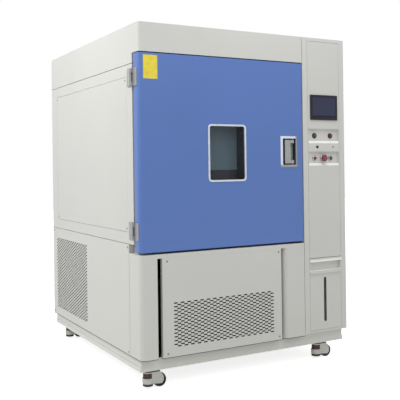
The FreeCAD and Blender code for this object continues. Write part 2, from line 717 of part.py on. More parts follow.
def push_buttons():
    """Caps that slide in their collars; the emergency stop has a mushroom head."""
    for label, (across, up) in zip(BUTTONS, PANEL_SPOTS):
        if label == "alarm_lamp":
            continue
        seat = "1 + button_travel"
        stem = [("0", "0 - panel_wall"), ("stem_radius", "0 - panel_wall")]
        if label == "emergency_stop":
            face = "tray_depth + estop_reach"
            head = [("stem_radius", face + " - estop_height"),
                    ("estop_radius - 2", face + " - estop_height"),
                    ("estop_radius", face + " - estop_height + 2"),
                    ("estop_radius", face + " - 5"), ("estop_radius - 3", face + " - 1.5"),
                    ("estop_radius*0.5", face), ("0", face)]
        else:
            head = [("stem_radius", seat), ("cap_radius", seat), ("cap_radius", seat + " + 3"),
                    ("cap_radius - 1", seat + " + 4"), ("0", seat + " + 4")]
        node(label, turned(stem + head, ("panel_mid + " + across, "tray_y", up), "front"))


def screw(place, toward):
    """Pan-head screw with its head on the sheet."""
    profile = [("0", "0 - screw_length"), ("screw_shank", "0 - screw_length"), ("screw_shank", "0"),
               ("screw_head", "0"), ("screw_head", "screw_rise*0.5"),
               ("screw_head*0.6", "screw_rise"), ("0", "screw_rise")]
    return turned(profile, place, toward)


def cabinet_screws():
    """Fasteners of the removable panels, which share one name."""
    pieces = [screw(("left", across, up), "left") for across, up in SERVICE_SPOTS + LOWER_SPOTS]
    pieces += [screw((across, "front", up), "front") for across, up in GRILLE_SPOTS + [PANEL_SPOT]]
    return node("cabinet_screws", group(*pieces))


# Test space

def chamber_face():
    """Front frame of the test space, which the door's seal closes on."""
    part = body()
    extrude(part, "XZ", "face_y", "liner_y",
            [rectangle(("left + pan_depth", "frame_z"), ("cover_right", "cap_skirt_z"))])
    extrude(part, "XZ", "face_y", "liner_y",
            [rectangle(("space_left", "space_z"), ("space_right", "space_top"))], remove=True)
    return node("chamber_face", part)


def chamber_liner():
    """Welded stainless tub, open in front, with a lamp opening in its ceiling."""
    part = body()
    outer = rectangle(("space_left - sheet", "space_z - sheet"),
                      ("space_right + sheet", "space_top + sheet"))
    inner = rectangle(("space_left", "space_z"), ("space_right", "space_top"))
    extrude(part, "XZ", "liner_y", "space_back + sheet", [outer])
    extrude(part, "XZ", "liner_y", "space_back", [inner], remove=True)
    soften(part, "space_radius", inner_along_y)
    soften(part, "space_radius + sheet", corner_along_y)
    extrude(part, "XY", "space_top", "space_top + sheet",
            [rectangle(("lamp_left", "lamp_front"), ("lamp_right", "lamp_back"))], remove=True)
    extrude(part, "XY", "space_z - sheet", "space_z",
            circles=[("space_mid", "table_y", "table_shaft + pin_room")], remove=True)
    extrude(part, "XZ", "space_back", "space_back + sheet",
            circles=[("space_mid", "blower_z", "table_shaft + pin_room")], remove=True)
    return node("chamber_liner", part)


PLACES["blower_z"] = "space_z + space_height*0.6"


def along_y(edge, whole):
    return is_along(edge, "y")


def corner_along_y(edge, whole):
    """Picks the four outer edges that run from front to back."""
    return (is_along(edge, "y") and any(at_side(edge, whole, side) for side in ("x-", "x+"))
            and any(at_side(edge, whole, side) for side in ("z-", "z+")))


def inner_along_y(edge, whole):
    sides = ("x-", "x+", "z-", "z+")
    return (is_along(edge, "y") and edge.BoundBox.YLength > 100
            and not any(at_side(edge, whole, side) for side in sides)
            and abs(edge.BoundBox.YMin - whole.YMin) < 1e-3
            and edge.BoundBox.YMax < whole.YMax - 1e-3)


def insulation_jacket():
    """Mineral wool block round the tub, resting on the deck."""
    part = body()
    extrude(part, "XZ", "liner_y", "space_back + jacket",
            [rectangle(("space_left - jacket", "frame_z"),
                       ("space_right + jacket", "space_top + jacket"))])
    room = "sheet + seal_clearance"
    extrude(part, "XZ", "liner_y", "space_back + sheet",
            [rectangle(("space_left - " + room.replace("+", "-"), "space_z - sheet"),
                       ("space_right + " + room, "space_top + " + room))], remove=True)
    extrude(part, "XY", "space_top", "space_top + jacket",
            [rectangle(("lamp_left - lamp_flange - seam", "lamp_front - lamp_flange - seam"),
                       ("lamp_right + lamp_flange + seam", "lamp_back + lamp_flange + seam"))],
            remove=True)
    extrude(part, "XY", "frame_z", "space_z",
            circles=[("space_mid", "table_y", "table_shaft + pin_room")], remove=True)
    extrude(part, "XZ", "space_back", "space_back + jacket",
            circles=[("space_mid", "blower_z", "table_shaft + pin_room")], remove=True)
    return node("insulation_jacket", part)


def lamp_reflector():
    """Folded hood over the lamps, closed at both ends, with a flange on the tub."""
    part = body()
    low, high = "space_top + sheet", "space_top + sheet + reflector_height"
    ends = ("lamp_front - lamp_flange", "lamp_back + lamp_flange")
    hood = [("lamp_left - lamp_flange", low), ("lamp_right + lamp_flange", low),
            ("lamp_right + lamp_flange - reflector_slope", high),
            ("lamp_left - lamp_flange + reflector_slope", high)]
    extrude(part, "XZ", ends[0], ends[1], [hood])
    hollow = [("lamp_left - lamp_flange + 2*sheet", low), ("lamp_right + lamp_flange - 2*sheet", low),
              ("lamp_right + lamp_flange - reflector_slope - sheet", high + " - sheet"),
              ("lamp_left - lamp_flange + reflector_slope + sheet", high + " - sheet")]
    extrude(part, "XZ", ends[0] + " + sheet", ends[1] + " - sheet", [hollow], remove=True)
    return node("lamp_reflector", part)


def lamps_and_filter():
    """Three straight lamps with ceramic caps, and the filter pane over the ceiling's opening."""
    low = "space_top + sheet"
    pieces = [block(("lamp_left - lamp_lap", "lamp_right + lamp_lap"),
                    ("lamp_front - lamp_lap", "lamp_back + lamp_lap"), (low, low + " + glass_pane"))]
    start, end = "lamp_front - lamp_flange + sheet", "lamp_back + lamp_flange - sheet"
    up = "space_top + reflector_height/2"
    for row in (-1, 0, 1):
        at = ("space_mid_lamp + (%d)*lamp_spread" % row, up)
        pieces.append(rod("y", at, "lamp_radius", start + " + cap_length", end + " - cap_length"))
        pieces.append(rod("y", at, "lamp_radius*1.3", start, start + " + cap_length"))
        pieces.append(rod("y", at, "lamp_radius*1.3", end + " - cap_length", end))
    return node("lamps_and_filter", group(*pieces))


PLACES["space_mid_lamp"] = "(lamp_left + lamp_right)/2"


def air_grille():
    """False back wall of the test space with upright air slots and a turned rim."""
    part = body()
    gap = "seal_clearance"
    low = ("space_left + space_radius", "space_z + " + gap)
    high = ("space_right - space_radius", "space_top - " + gap)
    extrude(part, "XZ", "space_back - grille_back", "space_back - " + gap, [rectangle(low, high)])
    extrude(part, "XZ", "space_back - grille_back + sheet", "space_back - " + gap,
            [rectangle((low[0] + " + sheet", low[1] + " + sheet"),
                       (high[0] + " - sheet", high[1] + " - sheet"))], remove=True)
    slot = rectangle((low[0] + " + 3*slot_pitch", "blower_z - slot_reach"),
                     (low[0] + " + 3*slot_pitch + air_slot_width", "blower_z + slot_reach"))
    pocket = extrude(part, "XZ", "space_back - grille_back", "space_back - grille_back + sheet",
                     [slot], remove=True)
    row = part.newObject("PartDesign::LinearPattern", "Slots")
    row.Originals = [pocket]
    row.Direction = (pocket.Profile[0], ["H_Axis"])
    bind(row, Occurrences="air_slots",
         Length="space_width - 2*space_radius - 6*slot_pitch - air_slot_width")
    part.Tip = row
    doc.recompute()
    return node("air_grille", part)


def drive_motors():
    """Gear motor under the table, blower motor behind the tub and fan motor."""
    motor = [("motor_radius", "0 - motor_length"), ("motor_radius", "0 - motor_boss"),
             ("motor_nose", "0 - motor_boss"), ("motor_nose", "0"),
             ("table_shaft + pin_clearance", "0"), ("table_shaft + pin_clearance", "0 - motor_length")]
    table = turned(motor, ("space_mid", "table_y", "frame_z - sheet"), "up")
    blower = turned(motor, ("space_mid", "space_back + jacket", "blower_z"), "front")
    fan = turned(motor, ("fan_x", "fan_y + fan_depth + fan_gap + motor_boss", "fan_z"), "front")
    return node("drive_motors", group(table, blower, fan))


PLACES["fan_x"] = "coil_left + coil_width/2"
PLACES["fan_z"] = "skirt_z + coil_height/2"
PLACES["fan_y"] = "coil_y + coil_depth + fan_gap"


def polar(part, feature, count):
    """Repeat a feature round its sketch's normal through the body's own middle."""
    spin = part.newObject("PartDesign::PolarPattern", "Round")
    spin.Originals = [feature]
    spin.Axis = (feature.Profile[0], ["N_Axis"])
    spin.Angle = 360
    bind(spin, Occurrences=count)
    part.Tip = spin
    doc.recompute()


def specimen_turntable():
    """Round specimen table with a slotted top, rim, hub and shaft, turned by its motor."""
    part = body()
    disc = ("0", "0", "table_radius")
    extrude(part, "XY", "0 - 2*sheet", "0", circles=[disc])
    window = [("table_shaft*5", "0 - slot_pitch*0.5"), ("table_radius*0.88", "0 - slot_pitch*3"),
              ("table_radius*0.88", "slot_pitch*3"), ("table_shaft*5", "slot_pitch*0.5")]
    polar(part, extrude(part, "XY", "0 - 2*sheet", "0", [window], remove=True), "table_windows")
    extrude(part, "XY", "0", "table_rim", circles=[disc, ("0", "0", "table_radius - 2*sheet")])
    extrude(part, "XY", "0 - table_hub", "0 - 2*sheet", circles=[("0", "0", "table_shaft*3")])
    extrude(part, "XY", "frame_z - sheet - motor_length*0.8 - space_z - table_height",
            "0 - table_hub", circles=[("0", "0", "table_shaft")])
    stand(part, ("space_mid", "table_y", "space_z + table_height"))
    return node("specimen_turntable", part)


def blower_wheel():
    """Centrifugal wheel: back disc, bent blades, front ring, hub and shaft."""
    part = body()
    part.Placement.Rotation = FreeCAD.Rotation(FreeCAD.Vector(1, 0, 0), 90)
    disc = ("0", "0", "blower_radius")
    extrude(part, "XY", "0", "sheet", circles=[disc])
    blade = [("blower_radius*0.74", "0"), ("blower_radius*0.97", "0 - sheet*5"),
             ("blower_radius*0.98", "0 - sheet*4"), ("blower_radius*0.75", "sheet")]
    polar(part, extrude(part, "XY", "sheet", "blower_depth - sheet", [blade]), "blower_blades")
    extrude(part, "XY", "blower_depth - sheet", "blower_depth",
            circles=[disc, ("0", "0", "blower_radius*0.72")])
    extrude(part, "XY", "sheet", "blower_depth*0.6", circles=[("0", "0", "table_shaft*2")])
    extrude(part, "XY", "0 - seam - jacket - motor_length*0.8", "0",
            circles=[("0", "0", "table_shaft")])
    stand(part, ("space_mid", "space_back - seam", "blower_z"))
    return node("blower_wheel", part)


# Machine compartment

def condenser_coil():
    """Finned coil in a frame, with a fan ring and a motor bracket behind it."""
    part = body()
    low = ("coil_left", "skirt_z")
    high = ("coil_left + coil_width", "skirt_z + coil_height")
    extrude(part, "XZ", "coil_y", "coil_y + coil_depth", [rectangle(low, high)])
    groove = rectangle((low[0] + " + slot_pitch", low[1] + " + slot_pitch"),
                       (low[0] + " + slot_pitch*1.5", high[1] + " - slot_pitch"))
    pocket = extrude(part, "XZ", "coil_y", "coil_y + coil_depth/3", [groove], remove=True)
    row = part.newObject("PartDesign::LinearPattern", "Fins")
    row.Originals = [pocket]
    row.Direction = (pocket.Profile[0], ["H_Axis"])
    bind(row, Occurrences="coil_width/slot_pitch - 1", Length="coil_width - 2.5*slot_pitch")
    part.Tip = row
    doc.recompute()
    far = "fan_y + fan_depth + fan_gap"
    extrude(part, "XZ", "coil_y + coil_depth", far, [rectangle(low, high)])
    extrude(part, "XZ", "coil_y + coil_depth", far,
            circles=[("fan_x", "fan_z", "fan_radius + fan_gap")], remove=True)
    arm = rectangle(("fan_x - motor_radius", "skirt_z + slot_pitch/2"),
                    ("fan_x + motor_radius", "skirt_z + coil_height - slot_pitch/2"))
    extrude(part, "XZ", far, far + " + motor_boss", [arm])
    extrude(part, "XZ", far, far + " + motor_boss",
            circles=[("fan_x", "fan_z", "motor_nose")], remove=True)
    return node("condenser_coil", part)


def condenser_fan():
    """Five pitched blades on a hub, driven by the motor behind it."""
    part = body()
    part.Placement.Rotation = FreeCAD.Rotation(FreeCAD.Vector(1, 0, 0), 90)
    extrude(part, "XY", "0 - fan_depth", "0", circles=[("0", "0", "fan_radius*0.25")])
    section = [("0 - fan_depth*1.2", "0 - fan_depth*0.8"), ("0 - fan_depth*0.9", "0 - fan_depth*0.8"),
               ("fan_depth*1.2", "0 - fan_depth*0.2"), ("fan_depth*0.9", "0 - fan_depth*0.2")]
    polar_blade = extrude(part, "XZ", "fan_radius*0.22", "fan_radius*0.95", [section])
    spin = part.newObject("PartDesign::PolarPattern", "Round")
    spin.Originals = [polar_blade]
    spin.Axis = (part.Origin.OriginFeatures[2], [""])
    spin.Angle = 360
    bind(spin, Occurrences="fan_blades")
    part.Tip = spin
    doc.recompute()
    extrude(part, "XY", "0 - fan_depth - fan_gap - motor_length*0.6", "0 - fan_depth",
            circles=[("0", "0", "table_shaft")])
    stand(part, ("fan_x", "fan_y", "fan_z"))
    return node("condenser_fan", part)


def compressor():
    """Hermetic compressor: a domed can with a foot plate and a stub of pipe."""
    can = turned([("0", "leaf_thickness"), ("compressor_radius*0.7", "leaf_thickness"),
                  ("compressor_radius", "compressor_height*0.2"),
                  ("compressor_radius", "compressor_height*0.75"),
                  ("compressor_radius*0.85", "compressor_height*0.9"),
                  ("compressor_radius*0.45", "compressor_height"), ("0", "compressor_height")])
    stand(can, ("compressor_x", "compressor_y", "skirt_z"))
    foot = block(("compressor_x - compressor_radius", "compressor_x + compressor_radius"),
                 ("compressor_y - compressor_radius", "compressor_y + compressor_radius"),
                 ("skirt_z", "skirt_z + leaf_thickness"))
    stub = rod("z", ("compressor_x + compressor_radius*0.3", "compressor_y"), "table_shaft",
               "skirt_z + compressor_height*0.8", "skirt_z + compressor_height*1.2")
    return node("compressor", join(can, foot, stub))


PLACES["compressor_x"] = "left + grille_start + compressor_radius*2"
PLACES["compressor_y"] = "back - compressor_radius*4"


# Door

def door_shell():
    """Folded door skin with a rounded hinge edge, a window hole and a handle hole."""
    part = body()
    low, high = ("left", "door_low"), ("door_right", "door_top")
    extrude(part, "XZ", "front", "door_back", [rectangle(low, high)])
    soften(part, "corner_radius", corner("z", "x-", "y-"))
    soften(part, "door_edge_radius", corner("z", "x+", "y-"))
    extrude(part, "XZ", "front + sheet", "door_back",
            [rectangle(("left + corner_radius", "door_low + sheet"),
                       ("door_right - sheet - door_edge_radius", "door_top - sheet"))], remove=True)
    extrude(part, "XZ", "front + corner_radius", "door_back",
            [rectangle(("left + sheet", "door_low + sheet"),
                       ("left + corner_radius", "door_top - sheet"))], remove=True)
    edge = "door_right - sheet - door_edge_radius"
    extrude(part, "XZ", "front + sheet + door_edge_radius", "door_back",
            [rectangle((edge, "door_low + sheet"), ("door_right - sheet", "door_top - sheet"))],
            remove=True)
    hole = [("window_x + gasket_width/2", "window_z + gasket_width/2"),
            ("window_x + window_width - gasket_width/2",
             "window_z + window_height - gasket_width/2")]
    extrude(part, "XZ", "front", "front + sheet", [rectangle(*hole)], remove=True)
    box = [("recess_left - handle_wall", "recess_low - handle_wall"),
           ("recess_right + handle_wall", "recess_top + handle_wall")]
    extrude(part, "XZ", "front", "front + sheet", [rectangle(*box)], remove=True)
    return node("door_shell", part)


PLACES["glass_left"] = "window_x + gasket_width"
PLACES["glass_right"] = "window_x + window_width - gasket_width"
PLACES["glass_low"] = "window_z + gasket_width"
PLACES["glass_top"] = "window_z + window_height - gasket_width"


def door_liner():
    """Inner door pan with a plug that enters the test space and a lined window opening."""
    part = body()
    extrude(part, "XZ", "door_back - pan_return", "door_back",
            [rectangle(("left + sheet", "door_low + sheet"), ("door_right - sheet", "door_top - sheet"))])
    extrude(part, "XZ", "door_back - pan_return", "door_back - sheet",
            [rectangle(("left + 2*sheet", "door_low + 2*sheet"),
                       ("door_right - 2*sheet", "door_top - 2*sheet"))], remove=True)
    plug = [("space_left + plug_margin + seal_width", "space_z + plug_margin + seal_width"),
            ("space_right - plug_margin - seal_width", "space_top - plug_margin - seal_width")]
    extrude(part, "XZ", "door_back", "door_back + plug_depth", [rectangle(*plug)])
    soften(part, "space_radius", plug_edges)
    sleeve = [("glass_left - sheet", "glass_low - sheet"), ("glass_right + sheet", "glass_top + sheet")]
    extrude(part, "XZ", "front + pane_thickness + sheet", "door_back - sheet", [rectangle(*sleeve)])
    extrude(part, "XZ", "front + pane_thickness + sheet", "door_back + plug_depth",
            [rectangle(("glass_left", "glass_low"), ("glass_right", "glass_top"))], remove=True)
    extrude(part, "XZ", "door_back - sheet", "door_back",
            [rectangle(("bolt_left - bolt_stroke - sheet", "bolt_low - sheet"),
                       ("bolt_right + sheet", "bolt_low + bolt_height + sheet"))], remove=True)
    return node("door_liner", part)


def plug_edges(edge, whole):
    return is_along(edge, "y") and edge.BoundBox.YMax > whole.YMax - 1e-3


def door_seal():
    """Soft seal in a ring round the plug, just clear of the face it closes on."""
    part = body()
    outer = [("space_left - seal_margin", "space_z - seal_margin"),
             ("space_right + seal_margin", "space_top + seal_margin")]
    inner = [(outer[0][0] + " + seal_width", outer[0][1] + " + seal_width"),
             (outer[1][0] + " - seal_width", outer[1][1] + " - seal_width")]
    extrude(part, "XZ", "door_back", "face_y - seal_clearance", [rectangle(*outer), rectangle(*inner)])
    return node("door_seal", part)


def window_gasket():
    """Rubber window profile with rounded corners, lapped over the door skin."""
    part = body()
    extrude(part, "XZ", "front - gasket_reach", "front",
            [rectangle(("window_x", "window_z"),
                       ("window_x + window_width", "window_z + window_height"))])
    soften(part, "window_radius", along_y)
    extrude(part, "XZ", "front", "front + sheet + pane_thickness",
            [rectangle(("window_x + gasket_width/2", "window_z + gasket_width/2"),
                       ("window_x + window_width - gasket_width/2",
                        "window_z + window_height - gasket_width/2"))])
    extrude(part, "XZ", "front - gasket_reach", "front + sheet + pane_thickness",
            [rectangle(("glass_left", "glass_low"), ("glass_right", "glass_top"))], remove=True)
    soften(part, "window_radius - gasket_width", inner_corner_edges)
    return node("window_gasket", part)


def inner_corner_edges(edge, whole):
    sides = ("x-", "x+", "z-", "z+")
    return (is_along(edge, "y") and abs(edge.BoundBox.YLength - whole.YLength) < 1e-3
            and not any(at_side(edge, whole, side) for side in sides))


def window_panes():
    """Outer pane inside the gasket and inner pane at the end of the lined opening."""
    gap = "seal_clearance/10"
    sides = (("glass_left + %s" % gap, "glass_right - %s" % gap),
             ("glass_low + %s" % gap, "glass_top - %s" % gap))
    outer = body()
    extrude(outer, "XZ", "front", "front + pane_thickness",
            [rectangle((sides[0][0], sides[1][0]), (sides[0][1], sides[1][1]))])
    soften(outer, "window_radius - gasket_width", along_y)
    inner = block(sides[0], ("door_back + plug_depth - 2*pane_thickness",
                             "door_back + plug_depth - pane_thickness"), sides[1])
    return node("window_panes", group(outer, inner))


def handle_bezel():
    """Cast handle dish: a bevelled frame, a deep recess and bores for the lever's pins."""
    part = body()
    extrude(part, "XZ", "front - bezel_reach", "front",
            [rectangle(("handle_x", "handle_z"), ("handle_x + handle_width", "handle_top"))])
    soften(part, "bezel_reach*0.75", rim("y-"), "Chamfer")
    extrude(part, "XZ", "front", "front + handle_recess + handle_wall",
            [rectangle(("recess_left - handle_wall", "recess_low - handle_wall"),
                       ("recess_right + handle_wall", "recess_top + handle_wall"))])
    extrude(part, "XZ", "front - bezel_reach", "front + handle_recess",
            [rectangle(("recess_left", "recess_low"), ("recess_right", "recess_top"))], remove=True)
    extrude(part, "XY", "recess_low - handle_wall/2", "recess_top + handle_wall/2",
            circles=[("pivot_x", "pivot_y", "trunnion_radius + pin_clearance")], remove=True)
    extrude(part, "XZ", "front + handle_recess", "front + handle_recess + handle_wall",
            [rectangle(("bolt_left - bolt_stroke - sheet", "bolt_low - sheet"),
                       ("bolt_right + sheet", "bolt_low + bolt_height + sheet"))], remove=True)
    return node("handle_bezel", part)


PLACES["bolt_low"] = "lever_top - lever_arm + (lever_arm - bolt_height)/2"
PLACES["bolt_right"] = "pivot_x - lug_half - pin_clearance*10"
PLACES["bolt_left"] = "bolt_right - bolt_width"


def handle_lever():
    """Pull bar with two arms, pins at their ends and a lug that works the bolt."""
    part = body()
    outline = [("lever_left", "lever_low"), ("lever_right", "lever_low"),
               ("lever_right", "lever_low + lever_arm"),
               ("lever_left + lever_bar", "lever_low + lever_arm"),
               ("lever_left + lever_bar", "lever_top - lever_arm"),
               ("lever_right", "lever_top - lever_arm"), ("lever_right", "lever_top"),
               ("lever_left", "lever_top")]
    extrude(part, "XZ", "front + lever_inset", "front + lever_inset + lever_thickness", [outline])
    soften(part, "lever_thickness*0.3", corner("z", "x-", "y-"))
    soften(part, "lever_thickness*0.3", corner("z", "x-", "y+"))
    soften(part, "lever_thickness*0.25", along_y)
    extrude(part, "XY", "recess_low - handle_wall/2", "lever_low + lever_arm/2",
            circles=[("pivot_x", "pivot_y", "trunnion_radius")])
    extrude(part, "XY", "lever_top - lever_arm/2", "recess_top + handle_wall/2",
            circles=[("pivot_x", "pivot_y", "trunnion_radius")])
    extrude(part, "XY", "bolt_low", "bolt_low + bolt_height",
            [rectangle(("pivot_x - lug_half", "pivot_y"),
                       ("pivot_x + lug_half", "pivot_y + lug_length"))])
    return node("handle_lever", part)


def latch_bolt():
    """Sliding bolt behind the door with the follower that the lever's lug pushes."""
    part = body()
    extrude(part, "XZ", "door_back + seal_clearance", "door_back + seal_clearance + bolt_thickness",
            [rectangle(("bolt_left", "bolt_low"), ("left + bolt_tip", "bolt_low + bolt_height"))])
    soften(part, "bolt_thickness*0.6", corner("z", "x+", "y-"), "Chamfer")
    extrude(part, "XZ", "pivot_y + lug_length*0.55", "door_back + seal_clearance",
            [rectangle(("bolt_left", "bolt_low"), ("bolt_right", "bolt_low + bolt_height"))])
    return node("latch_bolt", part)


def strike_plate():
    """Keeper screwed to the face frame beside the bolt's nose."""
    part = body()
    low = "left + bolt_tip + strike_gap"
    extrude(part, "XY", "bolt_low - bolt_height", "bolt_low + 2*bolt_height",
            [[(low, "face_y"), (low, "door_back + seal_clearance*2"),
              (low + " + bolt_thickness/2", "door_back + seal_clearance*2"),
              (low + " + bolt_thickness", "face_y - leaf_thickness/2"),
              (low + " + 3*bolt_thickness", "face_y - leaf_thickness/2"),
              (low + " + 3*bolt_thickness", "face_y")]])
    return node("strike_plate", part)


def hinge_part(drops, spans, leaf, name, pin):
    """Knuckles of a hinge on one side, with their leaf and, on the door, the pin."""
    pieces = []
    for drop in drops:
        top = "top_z - " + drop
        solids = []
        for start, end in spans:
            low = "%s - hinge_height*%s + leaf_gap/2" % (top, end)
            high = "%s - hinge_height*%s - leaf_gap/2" % (top, start)
            solids.append(rod("z", ("hinge_x", "hinge_y"), "knuckle_radius", low, high))
            solids.append(block(("hinge_x", "left"), leaf[1], (low, high)))
        low, high = top + " - hinge_height + leaf_gap/2", top + " - leaf_gap/2"
        solids.append(block(("left - leaf_thickness", "left"), leaf[0], (low, high)))
        if pin:
            solids.append(rod("z", ("hinge_x", "hinge_y"), "hinge_pin_radius", low, high))
            pieces.append(join(*solids))
        else:
            bore = rod("z", ("hinge_x", "hinge_y"), "hinge_pin_radius + pin_clearance",
                       top + " - hinge_height", top)
            pieces.append(cut(join(*solids), bore))
    return node(name, group(*pieces))


HINGE_DROPS = ("hinge_upper_drop", "hinge_lower_drop")


def hinges():
    """Two three-knuckle hinges: outer knuckles and pin on the door, the middle one on the cabinet."""
    near, far = "hinge_y - knuckle_radius - leaf_gap", "hinge_y + knuckle_radius + leaf_gap"
    door_leaf = ((near + " - leaf_length", near), (near + " - leaf_thickness", "hinge_y"))
    body_leaf = ((far, far + " + leaf_length"), ("hinge_y", far + " + leaf_thickness"))
    hinge_part(HINGE_DROPS, (("0", "0.27"), ("0.73", "1")), door_leaf, "hinge_door_leaves", True)
    hinge_part(HINGE_DROPS, (("0.27", "0.73"),), body_leaf, "hinge_body_leaves", False)


# Water drawer

PLACES["drawer_left"] = "panel_left + seam/2"
PLACES["drawer_right"] = "panel_right - seam/2"
PLACES["drawer_low"] = "column_low + strip_bottom + seam/2"
PLACES["drawer_high"] = "drawer_top - seam/2"
PLACES["gauge_x"] = "panel_mid - gauge_width/4"


def water_drawer():
    """Drawer front with a finger pull and gauge slot, and the tray that holds the tank."""
    part = body()
    low, high = ("drawer_left", "drawer_low"), ("drawer_right", "drawer_high")
    extrude(part, "XZ", "front", "front + panel_depth", [rectangle(low, high)])
    below = [("drawer_left + sheet", "drawer_low + sheet"),
             ("drawer_right - sheet", "top_z - pull_drop - pull_height - sheet")]
    extrude(part, "XZ", "front + sheet", "front + panel_depth", [rectangle(*below)], remove=True)
    pull_top = "top_z - pull_drop"
    pull_low = pull_top + " - pull_height"
    for bottom, top in ((pull_top + " - pull_lip", pull_top), (pull_low, pull_low + " + pull_lip/2")):
        lip = [("front", bottom), ("front - pull_reach", bottom),
               ("front - pull_reach", top + " - pull_reach/2"), ("front", top)]
        extrude(part, "YZ", "drawer_left", "drawer_right", [lip])
    recess = [("front - pull_reach", pull_low + " + pull_lip/2"),
              ("front + pull_recess", pull_low + " + pull_lip"),
              ("front + pull_recess", pull_top + " - pull_lip"),
              ("front - pull_reach", pull_top + " - pull_lip")]
    extrude(part, "YZ", "drawer_left + tray_margin", "drawer_right - tray_margin",
            [recess], remove=True)
    slot_low, slot_high = "top_z - gauge_low", "top_z - gauge_drop"
    half = "gauge_width/2"
    extrude(part, "XZ", "front", "front + sheet",
            [rectangle(("gauge_x - " + half, slot_low + " + " + half),
                       ("gauge_x + " + half, slot_high + " - " + half))], remove=True)
    for up in (slot_low + " + " + half, slot_high + " - " + half):
        extrude(part, "XZ", "front", "front + sheet", circles=[("gauge_x", up, half)], remove=True)
    box = [("drawer_left + drawer_inset", "drawer_low"), ("drawer_right - drawer_inset", "drawer_mid_z")]
    extrude(part, "XZ", "front + panel_depth", "front + drawer_depth", [rectangle(*box)])
    inner = [("drawer_left + drawer_inset + drawer_wall", "front + panel_depth + drawer_wall"),
             ("drawer_right - drawer_inset - drawer_wall", "front + drawer_depth - drawer_wall")]
    extrude(part, "XY", "drawer_low + drawer_wall", "drawer_mid_z", [rectangle(*inner)], remove=True)
    return node("water_drawer", part)


PLACES["drawer_mid_z"] = "drawer_low + (drawer_high - drawer_low)*0.4"


def water_tank():
    """Moulded tank with a filler neck, and the gauge tube that shows in the drawer's slot."""
    gap = "(drawer_inset + drawer_wall + seal_clearance)"
    tank = body()
    extrude(tank, "XY", "drawer_low + drawer_wall", "drawer_high - tank_drop",
            [rectangle(("drawer_left + " + gap, "front + panel_depth + drawer_wall + seal_clearance"),
                       ("drawer_right - " + gap, "front + drawer_depth - drawer_wall - seal_clearance"))])
    soften(tank, "tank_radius", lambda edge, whole: is_along(edge, "z"))
    extrude(tank, "XY", "drawer_high - tank_drop", "drawer_high - tank_drop + neck_height",
            circles=[("panel_mid", "front + drawer_depth/2", "neck_radius")])
    tube = rod("z", ("gauge_x", "front + sheet + tube_radius + seal_clearance"), "tube_radius",
               "top_z - gauge_low - gauge_width/2", "top_z - gauge_drop + gauge_width/2")
    clips = [block(("gauge_x - tube_radius*2", "gauge_x + tube_radius*2"),
                   ("front + sheet", "front + panel_depth"), (low, low + " + tube_radius"))
             for low in ("top_z - gauge_low - gauge_width/2", "top_z - gauge_drop + tube_radius")]
    return node("water_tank", group(tank, join(tube, *clips)))


def drawer_runners():
    """Two slide rails fixed inside the column's sides, under the drawer tray's flanks."""
    pieces = []
    for near, far in (("column_x + sheet", "drawer_left + drawer_inset - runner_gap"),
                      ("drawer_right - drawer_inset + runner_gap", "right - sheet")):
        pieces.append(block((near, far), ("front + panel_depth + leaf_thickness", "front + drawer_depth"),
                            ("drawer_low + runner_width", "drawer_low + 4*runner_width")))
    return node("drawer_runners", group(*pieces))


# Levelling casters

PLACES["caster_left"] = "left + caster_side"
PLACES["caster_right"] = "right - caster_side - caster_shift"
PLACES["caster_near"] = "front + caster_front"
PLACES["caster_far"] = "back - caster_back"

CASTERS = {"front_left": ("caster_left", "caster_near"), "front_right": ("caster_right", "caster_near"),
           "rear_left": ("caster_left", "caster_far"), "rear_right": ("caster_right", "caster_far")}


def caster_plates():
    """Mounting plates with their king pins, bolted under the plinth's flange."""
    pieces = []
    low = "plinth_z - plate_thickness"
    for across, deep in CASTERS.values():
        plate = body()
        extrude(plate, "XY", "0", "plate_thickness",
                [rectangle(("0 - plate_length/2", "0 - plate_width/2"),
                           ("plate_length/2", "plate_width/2"))])
        soften(plate, "plate_thickness*1.5", lambda edge, whole: is_along(edge, "z"))
        extrude(plate, "XY", "0 - king_length", "0", circles=[("0", "0", "king_radius")])
        pieces.append(stand(plate, (across, deep, low)))
    return node("caster_plates", group(*pieces))


PLACES["housing_top"] = "caster_height - plate_thickness - swivel_gap"
PLACES["dial_low"] = "foot_lift + foot_pad + dial_drop"


def caster_housing(label, place):
    """Cast housing with a round swivel head, wheel cheeks, a foot sleeve and a dial window."""
    part = body()
    nose, tail = "0 - foot_offset - dial_radius*0.9", "wheel_trail + wheel_radius*0.45"
    side = [(nose, "foot_lift + foot_pad + foot_travel*0.6"),
            ("wheel_trail - wheel_radius*0.2", "wheel_radius*0.55"),
            ("wheel_trail + wheel_radius*0.2", "wheel_radius*0.55"), (tail, "wheel_radius*0.9"),
            (tail, "wheel_radius*1.5"), ("wheel_trail*0.7", "housing_top"), (nose, "housing_top")]
    extrude(part, "XZ", "0 - housing_half_width", "housing_half_width", [side])
    soften(part, "housing_half_width*0.7", corner("z", "x-"))
    wheel_room = [("wheel_trail", "wheel_radius", "wheel_radius + swivel_gap*2")]
    half = "wheel_width/2 + swivel_gap"
    extrude(part, "XZ", "0 - (%s)" % half, half, circles=wheel_room, remove=True)
    dial_top = "dial_low + dial_height + dial_room"
    extrude(part, "XY", "dial_low - foot_travel - dial_room", dial_top,
            circles=[("0 - foot_offset", "0", "dial_radius + swivel_gap")], remove=True)
    extrude(part, "XY", "foot_lift", "housing_top",
            circles=[("0 - foot_offset", "0", "screw_radius + pin_clearance")], remove=True)
    extrude(part, "XY", "housing_top - king_length + swivel_gap", "housing_top",
            circles=[("0", "0", "king_radius + pin_clearance")], remove=True)
    extrude(part, "XZ", "0 - housing_half_width", "housing_half_width",
            circles=[("wheel_trail", "wheel_radius", "axle_radius")])
    stand(part, place + ("0",))
    return node(label, part)


